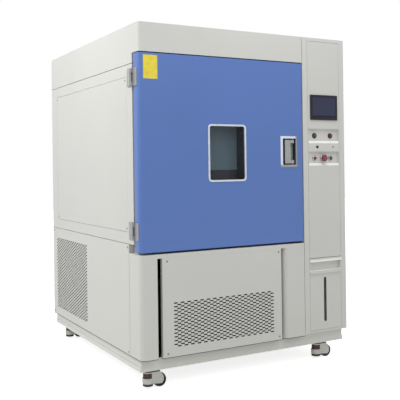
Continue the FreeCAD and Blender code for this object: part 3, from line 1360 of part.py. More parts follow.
def caster_wheel(label, place):
    """Nylon wheel with a crowned tread, recessed sides and a bored hub."""
    half = "wheel_width/2"
    profile = [("axle_radius + pin_clearance", "0 - " + half), ("axle_radius*2.2", "0 - " + half),
               ("axle_radius*2.6", "0 - wheel_width*0.3"), ("wheel_radius*0.74", "0 - wheel_width*0.3"),
               ("wheel_radius*0.8", "0 - " + half), ("wheel_radius - 2", "0 - " + half),
               ("wheel_radius", "0 - wheel_width/4"), ("wheel_radius", "wheel_width/4"),
               ("wheel_radius - 2", half), ("wheel_radius*0.8", half),
               ("wheel_radius*0.74", "wheel_width*0.3"), ("axle_radius*2.6", "wheel_width*0.3"),
               ("axle_radius*2.2", half), ("axle_radius + pin_clearance", half)]
    across, deep = place
    return node(label, turned(profile, (across + " + wheel_trail", deep, "wheel_radius"), "front"))


def caster_foot(label, place):
    """Levelling foot: rubber pad, threaded stem and the dial that turns it."""
    pad_top = "foot_lift + foot_pad"
    profile = [("0", "foot_lift"), ("foot_radius - 2", "foot_lift"), ("foot_radius", "foot_lift + 3"),
               ("foot_radius", pad_top + " - 2"), ("foot_radius - 4", pad_top),
               ("screw_radius", pad_top), ("screw_radius", "dial_low"), ("dial_radius", "dial_low"),
               ("dial_radius", "dial_low + dial_height"), ("screw_radius", "dial_low + dial_height"),
               ("screw_radius", "housing_top - swivel_gap"), ("0", "housing_top - swivel_gap")]
    across, deep = place
    return node(label, turned(profile, (across + " - foot_offset", deep, "0")))


def build():
    base_frame()
    caster_plates()
    deck_frame()
    header_cap()
    left_upper_frame()
    left_upper_panel()
    left_lower_panel()
    left_corner_post()
    ledge_strip()
    front_grille_panel()
    right_flank_post()
    control_column()
    right_cover()
    back_panel()
    control_panel()
    hmi_panel()
    panel_fittings()
    push_buttons()
    cabinet_screws()
    chamber_face()
    chamber_liner()
    insulation_jacket()
    lamp_reflector()
    lamps_and_filter()
    air_grille()
    drive_motors()
    specimen_turntable()
    blower_wheel()
    condenser_coil()
    condenser_fan()
    compressor()
    door_shell()
    door_liner()
    door_seal()
    window_gasket()
    window_panes()
    handle_bezel()
    handle_lever()
    latch_bolt()
    strike_plate()
    hinges()
    water_drawer()
    water_tank()
    drawer_runners()
    for name, place in CASTERS.items():
        caster_housing(name + "_caster_housing", place)
        caster_wheel(name + "_caster_wheel", place)
        caster_foot(name + "_levelling_foot", place)


def check():
    """Stop before anything is written if an object failed or a shape is unsound."""
    doc.recompute()
    for thing in doc.Objects:
        if {"Invalid", "Error"} & set(thing.State):
            raise ValueError("%s (%s) failed" % (thing.Label, thing.Name))
    for part in NODES:
        if part.Shape.isNull() or not part.Shape.isValid():
            raise ValueError("%s has no sound shape" % part.Label)


def export():
    os.makedirs("parts", exist_ok=True)
    for part in NODES:
        part.Shape.exportStep("parts/%s.step" % part.Label)


build()
check()
export()
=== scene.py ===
"""Environmental test chamber: finishes, detailed pieces, camera and light, in metres."""
import math

import bpy
from mathutils import Matrix, Vector


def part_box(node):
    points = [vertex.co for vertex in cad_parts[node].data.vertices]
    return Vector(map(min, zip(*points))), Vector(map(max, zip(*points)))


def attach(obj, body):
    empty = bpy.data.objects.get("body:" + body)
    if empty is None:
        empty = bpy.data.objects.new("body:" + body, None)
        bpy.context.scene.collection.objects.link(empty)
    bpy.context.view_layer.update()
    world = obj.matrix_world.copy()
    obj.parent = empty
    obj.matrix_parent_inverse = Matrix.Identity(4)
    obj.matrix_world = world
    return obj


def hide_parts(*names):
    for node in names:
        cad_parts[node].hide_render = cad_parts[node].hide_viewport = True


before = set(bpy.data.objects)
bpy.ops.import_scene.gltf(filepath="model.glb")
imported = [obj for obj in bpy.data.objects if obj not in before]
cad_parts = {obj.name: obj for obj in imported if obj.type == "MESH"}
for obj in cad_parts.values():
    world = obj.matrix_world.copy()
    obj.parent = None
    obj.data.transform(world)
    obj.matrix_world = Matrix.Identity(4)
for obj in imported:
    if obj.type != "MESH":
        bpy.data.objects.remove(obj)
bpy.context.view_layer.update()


# Floor, light and camera
# A pale studio floor under soft light from the upper left. The camera stands at the
# photograph's angle, just below the height of the lower row of buttons.

scene = bpy.context.scene
scene.view_settings.view_transform = "Standard"

CAMERA_PLACE = Vector((-2.157, -4.079, 1.183))
CAMERA_YAW = math.radians(29.29)
CAMERA_PITCH = math.radians(0.21)
CAMERA_ROLL = math.radians(-0.76)

lens = bpy.data.cameras.new("camera")
lens.sensor_width = 36
lens.lens = 63
lens.shift_x = -0.0125
lens.shift_y = -0.09
lens.clip_end = 60
camera = bpy.data.objects.new("camera", lens)
scene.collection.objects.link(camera)
camera.matrix_world = (Matrix.Translation(CAMERA_PLACE) @ Matrix.Rotation(-CAMERA_YAW, 4, "Z")
                       @ Matrix.Rotation(math.radians(90) + CAMERA_PITCH, 4, "X")
                       @ Matrix.Rotation(CAMERA_ROLL, 4, "Z"))
scene.camera = camera


def maths(tree, operation, first, second):
    """A math node on two values, each a socket's output or a plain number."""
    node = tree.nodes.new("ShaderNodeMath")
    node.operation = operation
    for socket, value in zip(node.inputs, (first, second)):
        if hasattr(value, "is_output"):
            tree.links.new(value, socket)
        else:
            socket.default_value = value
    return node.outputs[0]


def seen_directly(tree):
    """A value of 1 for rays that see the background: straight, in gloss or through glass."""
    rays = tree.nodes.new("ShaderNodeLightPath").outputs
    either = maths(tree, "MAXIMUM", rays["Is Camera Ray"], rays["Is Glossy Ray"])
    return maths(tree, "MAXIMUM", either, rays["Is Transmission Ray"])


def make_world(above=0.64, below=0.36, fade_from=-0.5, fade_to=0.6):
    """Soft light that comes more from above than from below, and plain white where seen."""
    world = bpy.data.worlds.new("studio")
    scene.world = world
    world.use_nodes = True
    nodes, links = world.node_tree.nodes, world.node_tree.links
    nodes.clear()
    soft = nodes.new("ShaderNodeBackground")
    soft.inputs["Color"].default_value = (1, 1, 1, 1)
    split = nodes.new("ShaderNodeSeparateXYZ")
    links.new(nodes.new("ShaderNodeTexCoord").outputs["Generated"], split.inputs[0])
    fade = nodes.new("ShaderNodeMapRange")
    fade.inputs["From Min"].default_value = fade_from
    fade.inputs["From Max"].default_value = fade_to
    fade.inputs["To Min"].default_value = below
    fade.inputs["To Max"].default_value = above
    links.new(split.outputs["Z"], fade.inputs["Value"])
    links.new(fade.outputs[0], soft.inputs["Strength"])
    white = nodes.new("ShaderNodeBackground")
    white.inputs["Color"].default_value = (1, 1, 1, 1)
    mix = nodes.new("ShaderNodeMixShader")
    links.new(seen_directly(world.node_tree), mix.inputs["Fac"])
    links.new(soft.outputs[0], mix.inputs[1])
    links.new(white.outputs[0], mix.inputs[2])
    links.new(mix.outputs[0], nodes.new("ShaderNodeOutputWorld").inputs["Surface"])


def add_panel(name, place, toward, power, side):
    """A square light panel that shines away from the direction it is given."""
    light = bpy.data.lights.new(name, "AREA")
    light.energy = power
    light.size = side
    lamp = bpy.data.objects.new(name, light)
    scene.collection.objects.link(lamp)
    lamp.location = place
    lamp.rotation_euler = Vector(toward).to_track_quat("Z", "Y").to_euler()


make_world()
add_panel("left_panel", (-2.7, -0.1, 3.0), (-0.84, 0.0, 0.54), 44, 1.6)
add_panel("front_panel", (-0.3, -2.9, 3.1), (-0.1, -0.80, 0.60), 15, 1.6)
add_panel("ceiling_panel", (0.2, -1.7, 3.5), (0.0, -0.40, 0.92), 14, 1.0)

FLOOR_SIDE, FLOOR_GLOW = 30, 0.80
bpy.ops.object.select_all(action="DESELECT")
bpy.ops.mesh.primitive_plane_add(size=FLOOR_SIDE, location=(0, 0, 0))
floor = bpy.context.object
floor.name = "studio_floor"
floor_paint = bpy.data.materials.new("floor_paint")
floor_paint.use_nodes = True
tree = floor_paint.node_tree
nodes, links = tree.nodes, tree.links
nodes.clear()
matt = nodes.new("ShaderNodeBsdfDiffuse")
matt.inputs["Color"].default_value = (0.75, 0.75, 0.74, 1)
glow = nodes.new("ShaderNodeEmission")
glow.inputs["Color"].default_value = (1, 1, 1, 1)
links.new(maths(tree, "MULTIPLY", seen_directly(tree), FLOOR_GLOW), glow.inputs["Strength"])
both = nodes.new("ShaderNodeAddShader")
links.new(matt.outputs[0], both.inputs[0])
links.new(glow.outputs[0], both.inputs[1])
links.new(both.outputs[0], nodes.new("ShaderNodeOutputMaterial").inputs["Surface"])
floor.data.materials.append(floor_paint)


# Cabinet sheets
# Folded steel sheets with a light warm grey powder coat: a fine, slightly bumpy skin
# with a soft sheen, a faint cloudiness and a little dust low down.

SKIN_OUTPUTS = [("Colour", "NodeSocketColor"), ("Roughness", "NodeSocketFloat"),
                ("Height", "NodeSocketFloat")]


def group_sockets(tree, ins, outs):
    """Name the inputs and outputs of a shared effect, each with its kind and starting value."""
    for name, kind, value in ins:
        socket = tree.interface.new_socket(name, in_out="INPUT", socket_type=kind)
        socket.default_value = value
    for name, kind in outs:
        tree.interface.new_socket(name, in_out="OUTPUT", socket_type=kind)
    return tree.nodes.new("NodeGroupInput"), tree.nodes.new("NodeGroupOutput")


def place_noise(tree, coordinates, size, detail=2.0):
    """Noise on the object's own coordinates."""
    noise = tree.nodes.new("ShaderNodeTexNoise")
    noise.inputs["Scale"].default_value = size
    noise.inputs["Detail"].default_value = detail
    tree.links.new(coordinates, noise.inputs["Vector"])
    return noise.outputs["Fac"]


def spread_value(tree, value, low, high, low_in=0.3, high_in=0.7):
    """Stretch a value's usual range over another one."""
    fit = tree.nodes.new("ShaderNodeMapRange")
    fit.inputs["From Min"].default_value = low_in
    fit.inputs["From Max"].default_value = high_in
    fit.inputs["To Min"].default_value = low
    fit.inputs["To Max"].default_value = high
    tree.links.new(value, fit.inputs["Value"])
    return fit.outputs[0]


def shade(tree, colour, amount):
    """Multiply a colour by a changing value."""
    scale = tree.nodes.new("ShaderNodeVectorMath")
    scale.operation = "SCALE"
    tree.links.new(colour, scale.inputs[0])
    tree.links.new(amount, scale.inputs["Scale"])
    return scale.outputs[0]


def powder_coat_group(peel_size=420, cloud_size=2.2, speck_size=160, dust_from=0.10, dust_to=0.75,
                      dust=(0.36, 0.34, 0.27, 1)):
    """Fine orange-peel skin, wide cloudiness, and dust that thins out with the height."""
    tree = bpy.data.node_groups.new("powder_coat", "ShaderNodeTree")
    ins, outs = group_sockets(
        tree,
        [("Colour", "NodeSocketColor", (0.7, 0.7, 0.7, 1)), ("Dust", "NodeSocketFloat", 0.1),
         ("Roughness", "NodeSocketFloat", 0.45)],
        SKIN_OUTPUTS)
    place = tree.nodes.new("ShaderNodeTexCoord").outputs["Object"]
    peel = place_noise(tree, place, peel_size)
    cloud = place_noise(tree, place, cloud_size, detail=3.0)
    specks = place_noise(tree, place, speck_size, detail=1.0)
    split = tree.nodes.new("ShaderNodeSeparateXYZ")
    tree.links.new(place, split.inputs[0])
    low_down = spread_value(tree, split.outputs["Z"], 1.0, 0.0, dust_from, dust_to)
    dusty = maths(tree, "MULTIPLY", maths(tree, "MULTIPLY", low_down, cloud), ins.outputs["Dust"])
    tone = shade(tree, ins.outputs["Colour"], spread_value(tree, cloud, 0.975, 1.02))
    tone = shade(tree, tone, spread_value(tree, specks, 0.985, 1.012))
    mix = tree.nodes.new("ShaderNodeMix")
    mix.data_type = "RGBA"
    tree.links.new(dusty, mix.inputs["Factor"])
    tree.links.new(tone, mix.inputs["A"])
    mix.inputs["B"].default_value = dust
    tree.links.new(mix.outputs["Result"], outs.inputs["Colour"])
    rough = maths(tree, "ADD", ins.outputs["Roughness"], spread_value(tree, cloud, -0.04, 0.05))
    tree.links.new(rough, outs.inputs["Roughness"])
    tree.links.new(peel, outs.inputs["Height"])
    return tree


def metal_grain_group(fine_size=260, wide_size=9):
    """Brushed or cast metal: streaks along one axis, or an even grain where the stretch is 1."""
    tree = bpy.data.node_groups.new("metal_grain", "ShaderNodeTree")
    ins, outs = group_sockets(
        tree,
        [("Colour", "NodeSocketColor", (0.6, 0.6, 0.6, 1)),
         ("Along", "NodeSocketVector", (1, 1, 1)),
         ("Roughness", "NodeSocketFloat", 0.3), ("Variation", "NodeSocketFloat", 0.12)],
        SKIN_OUTPUTS)
    place = tree.nodes.new("ShaderNodeTexCoord").outputs["Object"]
    drawn = tree.nodes.new("ShaderNodeVectorMath")
    drawn.operation = "MULTIPLY"
    tree.links.new(place, drawn.inputs[0])
    tree.links.new(ins.outputs["Along"], drawn.inputs[1])
    fine = place_noise(tree, drawn.outputs[0], fine_size, detail=3.0)
    wide = place_noise(tree, place, wide_size)
    tone = shade(tree, ins.outputs["Colour"], spread_value(tree, fine, 0.93, 1.05))
    tree.links.new(shade(tree, tone, spread_value(tree, wide, 0.95, 1.03)), outs.inputs["Colour"])
    swing = maths(tree, "MULTIPLY", spread_value(tree, fine, -0.5, 0.5), ins.outputs["Variation"])
    tree.links.new(maths(tree, "ADD", ins.outputs["Roughness"], swing), outs.inputs["Roughness"])
    tree.links.new(fine, outs.inputs["Height"])
    return tree


def moulded_group(grain_size=900, mark_size=45):
    """Moulded plastic, rubber or glass: a fine grain and slight handling marks."""
    tree = bpy.data.node_groups.new("moulded_skin", "ShaderNodeTree")
    ins, outs = group_sockets(
        tree,
        [("Colour", "NodeSocketColor", (0.2, 0.2, 0.2, 1)), ("Roughness", "NodeSocketFloat", 0.45)],
        SKIN_OUTPUTS)
    place = tree.nodes.new("ShaderNodeTexCoord").outputs["Object"]
    grain = place_noise(tree, place, grain_size)
    marks = place_noise(tree, place, mark_size, detail=3.0)
    tree.links.new(shade(tree, ins.outputs["Colour"], spread_value(tree, marks, 0.90, 1.08)),
                   outs.inputs["Colour"])
    rough = maths(tree, "ADD", ins.outputs["Roughness"], spread_value(tree, marks, -0.07, 0.07))
    tree.links.new(rough, outs.inputs["Roughness"])
    tree.links.new(grain, outs.inputs["Height"])
    return tree


POWDER_COAT, METAL_GRAIN, MOULDED = powder_coat_group(), metal_grain_group(), moulded_group()


def finish(name, group, colour, bump=0.05, depth=0.0002, metallic=0.0, **values):
    """A material whose colour, roughness and relief come from one of the shared skins."""
    material = bpy.data.materials.new(name)
    material.use_nodes = True
    tree = material.node_tree
    shader = tree.nodes["Principled BSDF"]
    shader.inputs["Metallic"].default_value = metallic
    skin = tree.nodes.new("ShaderNodeGroup")
    skin.node_tree = group
    skin.name = "skin"
    skin.inputs["Colour"].default_value = (*colour, 1)
    for socket, value in values.items():
        skin.inputs[socket].default_value = value
    tree.links.new(skin.outputs["Colour"], shader.inputs["Base Color"])
    tree.links.new(skin.outputs["Roughness"], shader.inputs["Roughness"])
    relief = tree.nodes.new("ShaderNodeBump")
    relief.inputs["Strength"].default_value = bump
    relief.inputs["Distance"].default_value = depth
    tree.links.new(skin.outputs["Height"], relief.inputs["Height"])
    tree.links.new(relief.outputs["Normal"], shader.inputs["Normal"])
    return material


def dress(material, *names):
    """Give CAD nodes their finish."""
    for name in names:
        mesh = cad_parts[name].data
        mesh.materials.clear()
        mesh.materials.append(material)


def in_box(tree, low, high):
    """A mask of 1 inside a box in the object's own coordinates."""
    split = tree.nodes.new("ShaderNodeSeparateXYZ")
    tree.links.new(tree.nodes.new("ShaderNodeTexCoord").outputs["Object"], split.inputs[0])
    mask = None
    for axis, least, most in zip("XYZ", low, high):
        for kind, level in (("GREATER_THAN", least), ("LESS_THAN", most)):
            if level is None:
                continue
            test = maths(tree, kind, split.outputs[axis], level)
            mask = test if mask is None else maths(tree, "MULTIPLY", mask, test)
    return mask


def tint(material, mask, colour):
    """Another colour where a mask is 1."""
    tree = material.node_tree
    base = tree.nodes["Principled BSDF"].inputs["Base Color"]
    mix = tree.nodes.new("ShaderNodeMix")
    mix.data_type = "RGBA"
    tree.links.new(mask, mix.inputs["Factor"])
    tree.links.new(base.links[0].from_socket, mix.inputs["A"])
    mix.inputs["B"].default_value = (*colour, 1)
    tree.links.new(mix.outputs["Result"], base)


def patch(material, low, high, colour, metallic=None):
    """Another colour, and other metal, on the part of a piece that lies in a box."""
    tree = material.node_tree
    shader = tree.nodes["Principled BSDF"]
    mask = in_box(tree, low, high)
    tint(material, mask, colour)
    if metallic is not None:
        metal = shader.inputs["Metallic"]
        tree.links.new(spread_value(tree, mask, metal.default_value, metallic, 0.0, 1.0), metal)


# Near black for painted shade inside, near white for painted highlights on lips, and the height of
# a painted shadow line.
PAINTED_INSIDE_SHADE, LIP_HIGHLIGHT, SKIRT_SHADOW_TALL = (0.012, 0.012, 0.012), (0.95, 0.95, 0.93), 0.004
MACHINE_SPACE = (-0.6740, -0.6900, None), (0.7020, 0.7560, 0.7100)
PLINTH_SPACE = (-0.6700, -0.7000, 0.1600), (0.6950, 0.7500, None)
TRAY_LIPS, LIP_TALL, PANEL_SKIN = (1.314, 1.180), 0.015, 0.0008


def cabinet_coat(name):
    """The cabinet's warm grey, for a piece that gets patches of its own."""
    return finish(name, POWDER_COAT, (0.655, 0.655, 0.625), bump=0.25, Dust=0.12)


def paint_skirt_shadow(paint, bottom):
    """A painted shadow line along a sheet's lower edge, where it stands off the plinth."""
    patch(paint, (None, None, None), (None, None, bottom + SKIRT_SHADOW_TALL), (0.10, 0.10, 0.09))


cabinet_paint = cabinet_coat("cabinet_paint")
# Painted shade: the inner faces round the machine space are near black.
patch(cabinet_paint, *MACHINE_SPACE, PAINTED_INSIDE_SHADE)
# A painted shadow line along the lower edges of the sheets in this paint, where they stand off the
# plinth.
paint_skirt_shadow(cabinet_paint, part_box("left_corner_post")[0].z)
dress(cabinet_paint, "header_cap", "left_upper_frame", "left_upper_panel", "left_corner_post",
      "ledge_strip", "right_flank_post", "control_column", "right_cover", "back_panel")

panel_paint = cabinet_coat("panel_paint")
# Painted highlights: the sloped lips at the foot of both trays are near white.
for lip in TRAY_LIPS:
    patch(panel_paint, (None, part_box("control_panel")[0].y + PANEL_SKIN, lip),
          (None, None, lip + LIP_TALL), LIP_HIGHLIGHT)
dress(panel_paint, "control_panel")

# Painted light: the plinth wears a lighter copy of the cabinet's grey, to brighten it in the shade
# under the cabinet.
plinth_paint = finish("plinth_paint", POWDER_COAT, (0.75, 0.75, 0.705), bump=0.25, Dust=0.15)
# Painted shade: the plinth's inner faces are near black.
patch(plinth_paint, *PLINTH_SPACE, PAINTED_INSIDE_SHADE)
dress(plinth_paint, "base_frame")

notch_paint = finish("notch_paint", POWDER_COAT, (0.36, 0.37, 0.30), bump=0.2, Dust=0.2)
dress(notch_paint, "deck_frame")


# Vented panels
# Folded service panels of 2 mm sheet with a staggered field of punched air slots: one on
# the left, behind the corner post, and one in front, between the notch and the flank.

SLOT_LONG, SLOT_TALL, SLOT_PITCH = 0.022, 0.007, 0.020
PANEL_SHEET, PANEL_FOLD, FACE_SKIN, SAME_PLACE = 0.002, 0.025, 0.0005, 1e-6


def vented_panel(name, node, across_axis, first, top, columns, rows):
    """A sheet with its slots cut out, folded back all round and given its thickness."""
    low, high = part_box(node)
    flat_axis = 1 - across_axis

    def is_slot(across, up):
        """Whether a point lies in a slot: odd columns sit half a pitch lower."""
        column = round((across - first) / SLOT_PITCH)
        for near in (column - 1, column, column + 1):
            if 0 <= near < columns and abs(across - first - near * SLOT_PITCH) < SLOT_LONG / 2:
                level = top - (near % 2) * SLOT_PITCH / 2
                row = round((level - up) / SLOT_PITCH)
                if 0 <= row < rows and abs(level - row * SLOT_PITCH - up) < SLOT_TALL / 2:
                    return True
        return False

    lines_across = sorted({low[across_axis], high[across_axis]} | {
        first + column * SLOT_PITCH + side * SLOT_LONG
        for column in range(columns) for side in (-0.5, 0.5)})
    lines_up = sorted({low.z, high.z} | {
        top - shift - row * SLOT_PITCH + side * SLOT_TALL
        for row in range(rows) for shift in (0, SLOT_PITCH / 2) for side in (-0.5, 0.5)})

    bpy.ops.object.select_all(action="DESELECT")
    bpy.ops.mesh.primitive_grid_add(x_subdivisions=len(lines_across) - 1,
                                    y_subdivisions=len(lines_up) - 1, size=2)
    panel = bpy.context.object
    panel.name = name
    for vertex in panel.data.vertices:
        column = round((vertex.co.x + 1) / 2 * (len(lines_across) - 1))
        row = round((vertex.co.y + 1) / 2 * (len(lines_up) - 1))
        spot = Vector((0, 0, lines_up[row]))
        spot[across_axis] = lines_across[column]
        spot[flat_axis] = low[flat_axis]
        vertex.co = spot
    bpy.ops.object.mode_set(mode="EDIT")
    bpy.ops.mesh.select_mode(type="FACE")
    bpy.ops.object.mode_set(mode="OBJECT")
    for face in panel.data.polygons:
        face.select = is_slot(face.center[across_axis], face.center.z)
    bpy.ops.object.mode_set(mode="EDIT")
    bpy.ops.mesh.delete(type="FACE")
    bpy.ops.mesh.select_mode(type="EDGE")
    bpy.ops.object.mode_set(mode="OBJECT")
    rims = ((across_axis, low[across_axis]), (across_axis, high[across_axis]),
            (2, low.z), (2, high.z))
    for edge in panel.data.edges:
        ends = [panel.data.vertices[i].co for i in edge.vertices]
        edge.select = any(all(abs(end[axis] - level) < SAME_PLACE for end in ends)
                          for axis, level in rims)
    bpy.ops.object.mode_set(mode="EDIT")
    fold = Vector((0, 0, 0))
    fold[flat_axis] = min(PANEL_FOLD, high[flat_axis] - low[flat_axis])
    bpy.ops.mesh.extrude_region_move(TRANSFORM_OT_translate={"value": fold})
    bpy.ops.mesh.select_all(action="SELECT")
    bpy.ops.mesh.remove_doubles(threshold=SAME_PLACE)
    bpy.ops.mesh.normals_make_consistent(inside=False)
    bpy.ops.object.mode_set(mode="OBJECT")
    if panel.data.polygons[0].normal[flat_axis] > 0:
        panel.data.flip_normals()
    thick = panel.modifiers.new("sheet", "SOLIDIFY")
    thick.thickness = PANEL_SHEET
    thick.offset = -1
    bpy.ops.object.modifier_apply(modifier="sheet")
    paint = cabinet_coat(name + "_paint")
    inner_low, inner_high = [None] * 3, [None] * 3
    inner_low[flat_axis] = low[flat_axis] + FACE_SKIN
    for axis in (across_axis, 2):
        inner_low[axis], inner_high[axis] = low[axis] + PANEL_FOLD, high[axis] - PANEL_FOLD
    # Painted shade: behind the front skin and inside the folds, the sheet is near black, as in the
    # dark inside the cabinet.
    patch(paint, inner_low, inner_high, PAINTED_INSIDE_SHADE)
    # A painted shadow line along the panel's lower edge.
    paint_skirt_shadow(paint, low.z)
    panel.data.materials.append(paint)
    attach(panel, "cabinet")
    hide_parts(node)


vented_panel("vented_side_panel", "left_lower_panel", 1, first=0.085, top=0.700,
             columns=30, rows=24)
vented_panel("vented_front_panel", "front_grille_panel", 0, first=-0.4745, top=0.458,
             columns=32, rows=12)


# Door skin
# Folded steel door with a mid blue powder coat, a little glossier than the cabinet's and
# free of dust.

door_paint = finish("door_paint", POWDER_COAT, (0.098, 0.192, 0.510), bump=0.25, Dust=0.0,
                    Roughness=0.40)
dress(door_paint, "door_shell")


# Stainless steel of the test space
# Brushed sheet: the tub, its front frame, the door's inner pan, the false back wall, the
# turntable and the blower. The door's pan carries painted shade round the window, in its reveal.

def brushed(name):
    """Stainless sheet with an upright brushing."""
    return finish(name, METAL_GRAIN, (0.55, 0.56, 0.56), bump=0.1, metallic=1.0,
                  Along=(1, 1, 0.03), Roughness=0.30)


dress(brushed("brushed_steel"), "chamber_face", "chamber_liner", "air_grille")
REVEAL_SHADE_REACH = Vector((0.002, 0, 0.002))
pane_low, pane_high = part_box("window_panes")
inner_pan_steel = brushed("inner_pan_steel")
# Painted shade: the pan is near black where it meets the window, in the reveal.
patch(inner_pan_steel, tuple(pane_low - REVEAL_SHADE_REACH), tuple(pane_high + REVEAL_SHADE_REACH), (0.010, 0.012, 0.016),
      metallic=0.0)
dress(inner_pan_steel, "door_liner")
turned_steel = finish("turned_steel", METAL_GRAIN, (0.56, 0.57, 0.57), bump=0.1, metallic=1.0,
                      Along=(0.05, 1, 1), Roughness=0.28)
dress(turned_steel, "specimen_turntable", "blower_wheel", "latch_bolt")


# Hinges, screws and strike
# Cast zinc hinges with a satin grey finish, zinc plated small plates, and dark screws.

hinge_zinc = finish("hinge_zinc", METAL_GRAIN, (0.38, 0.385, 0.39), bump=0.2, metallic=0.75,
                    Roughness=0.42)
dress(hinge_zinc, "hinge_body_leaves", "hinge_door_leaves")
zinc_plate = finish("zinc_plate", METAL_GRAIN, (0.42, 0.42, 0.40), bump=0.2, metallic=0.9,
                    Roughness=0.38)
dress(zinc_plate, "strike_plate", "drawer_runners")
screw_steel = finish("screw_steel", METAL_GRAIN, (0.20, 0.20, 0.19), bump=0.05, metallic=0.8,
                     Roughness=0.40)
dress(screw_steel, "cabinet_screws")


# Machine compartment and motors
# Dark parts that show only through slots and gaps, the coil's near black being painted
# shade, and the bright hood and the wool round the test space.

# Painted shade: the coil is kept near black, as it sits in the dark compartment.
coil_metal = finish("coil_metal", METAL_GRAIN, (0.035, 0.035, 0.037), bump=0.3, metallic=0.6,
                    Roughness=0.5)
dress(coil_metal, "condenser_coil")
black_enamel = finish("black_enamel", MOULDED, (0.014, 0.014, 0.015), bump=0.2, Roughness=0.65)
dress(black_enamel, "drive_motors", "compressor", "condenser_fan")
bright_aluminium = finish("bright_aluminium", METAL_GRAIN, (0.80, 0.81, 0.82), bump=0.1,
                          metallic=1.0, Along=(1, 0.04, 1), Roughness=0.18)
dress(bright_aluminium, "lamp_reflector")
wool = finish("wool", MOULDED, (0.45, 0.36, 0.17), bump=0.8, depth=0.002, Roughness=0.9)
dress(wool, "insulation_jacket")


# Seals and window
# A black silicone seal round the plug, a pale rubber profile round the window, and two
# panes: a clear dark one outside, and a bluish one inside with painted shade along its foot.

black_rubber = finish("black_rubber", MOULDED, (0.02, 0.02, 0.021), bump=0.3, Roughness=0.6)
dress(black_rubber, "door_seal")
pale_rubber = finish("pale_rubber", MOULDED, (0.72, 0.79, 0.88), bump=0.2, Roughness=0.4)
dress(pale_rubber, "window_gasket")


def set_gloss(material, level):
    """How strongly a dark, glassy skin mirrors the studio."""
    material.node_tree.nodes["Principled BSDF"].inputs["Specular IOR Level"].default_value = level


PANE_MIDDLE, FOOT_SHADE_TALL, OUTER_VEIL, INNER_VEIL = (pane_low.y + pane_high.y) / 2, 0.055, 0.24, 0.88
inner_pane = (None, PANE_MIDDLE, None), (None, None, None)
tinted_glass = finish("tinted_glass", MOULDED, (0.020, 0.026, 0.030), bump=0.01, Roughness=0.04)
patch(tinted_glass, *inner_pane, (0.340, 0.480, 0.580))
# Painted shade: a darker band along the foot of the inner pane.
patch(tinted_glass, inner_pane[0], (None, None, pane_low.z + FOOT_SHADE_TALL), (0.110, 0.118, 0.135))
tree = tinted_glass.node_tree
tree.links.new(spread_value(tree, in_box(tree, *inner_pane), OUTER_VEIL, INNER_VEIL, 0.0, 1.0),
               tree.nodes["Principled BSDF"].inputs["Alpha"])
set_gloss(tinted_glass, 0.25)
dress(tinted_glass, "window_panes")

lamp_glass = finish("lamp_glass", MOULDED, (0.9, 0.92, 0.92), bump=0.01, Roughness=0.03)
shader = lamp_glass.node_tree.nodes["Principled BSDF"]
shader.inputs["Transmission Weight"].default_value = 1.0
shader.inputs["IOR"].default_value = 1.45
dress(lamp_glass, "lamps_and_filter")


# Handle
# A cast dish with a bright bevelled frame, painted shade in its recess and on its right and
# lower bevels, and a satin plated lever that turns on pins in the dish.

BEZEL_WIDE, RECESS_EDGE, LEVER_BAR, RECESS_BACK = 0.015, 0.0142, 0.030, 0.030
low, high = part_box("handle_bezel")
lever_low, lever_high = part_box("handle_lever")
dish = finish("handle_dish", METAL_GRAIN, (0.72, 0.77, 0.86), bump=0.1, metallic=0.35,
              Roughness=0.30)
# Painted shade: the recess inside the frame is near black.
patch(dish, (low.x + RECESS_EDGE, None, low.z + RECESS_EDGE),
      (high.x - RECESS_EDGE, None, high.z - RECESS_EDGE), (0.028, 0.030, 0.029), metallic=0.0)
# Painted light: a light grey-green on the recess back beside the lever, where it catches light
# through the notch.
patch(dish, (lever_low.x + LEVER_BAR, low.y + RECESS_BACK, lever_low.z + BEZEL_WIDE),
      (high.x - BEZEL_WIDE, None, lever_high.z - BEZEL_WIDE), (0.62, 0.70, 0.64), metallic=0.0)
# Painted shade: the frame's right and lower bevels are darker.
patch(dish, (high.x - RECESS_EDGE, None, None), (None, None, None), (0.26, 0.28, 0.31))
patch(dish, (None, None, None), (None, None, low.z + RECESS_EDGE), (0.32, 0.35, 0.38))
dress(dish, "handle_bezel")
satin = finish("satin_lever", METAL_GRAIN, (0.34, 0.355, 0.35), bump=0.15, metallic=0.45,
               Along=(1, 1, 0.1), Roughness=0.34)
dress(satin, "handle_lever")


# Operating screen
# A moulded bezel with a dark glass a millimetre behind its face, clipped into the control
# panel. The glass shows its unlit display as a dull blue field.

def box_piece(name, low, high, bevel, segments=3):
    """A block between two corners with rounded edges."""
    bpy.ops.object.select_all(action="DESELECT")
    bpy.ops.mesh.primitive_cube_add(size=1)
    piece = bpy.context.object
    piece.name = name
    low, high = Vector(low), Vector(high)
    middle, size = (low + high) / 2, high - low
    for vertex in piece.data.vertices:
        vertex.co = [middle[i] + vertex.co[i] * size[i] for i in range(3)]
    bpy.ops.object.mode_set(mode="EDIT")
    bpy.ops.mesh.select_all(action="SELECT")
    bpy.ops.mesh.bevel(offset=bevel, segments=segments, affect="EDGES")
    bpy.ops.object.mode_set(mode="OBJECT")
    return piece


def complete(piece, material, body, replaces=(), smooth_angle=35):
    """Smooth a finished piece, give it its finish and fix it to its body."""
    bpy.ops.object.mode_set(mode="OBJECT")
    bpy.ops.object.select_all(action="DESELECT")
    piece.select_set(True)
    bpy.context.view_layer.objects.active = piece
    bpy.ops.object.shade_smooth_by_angle(angle=math.radians(smooth_angle))
    piece.data.materials.clear()
    piece.data.materials.append(material)
    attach(piece, body)
    if replaces:
        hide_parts(*replaces)


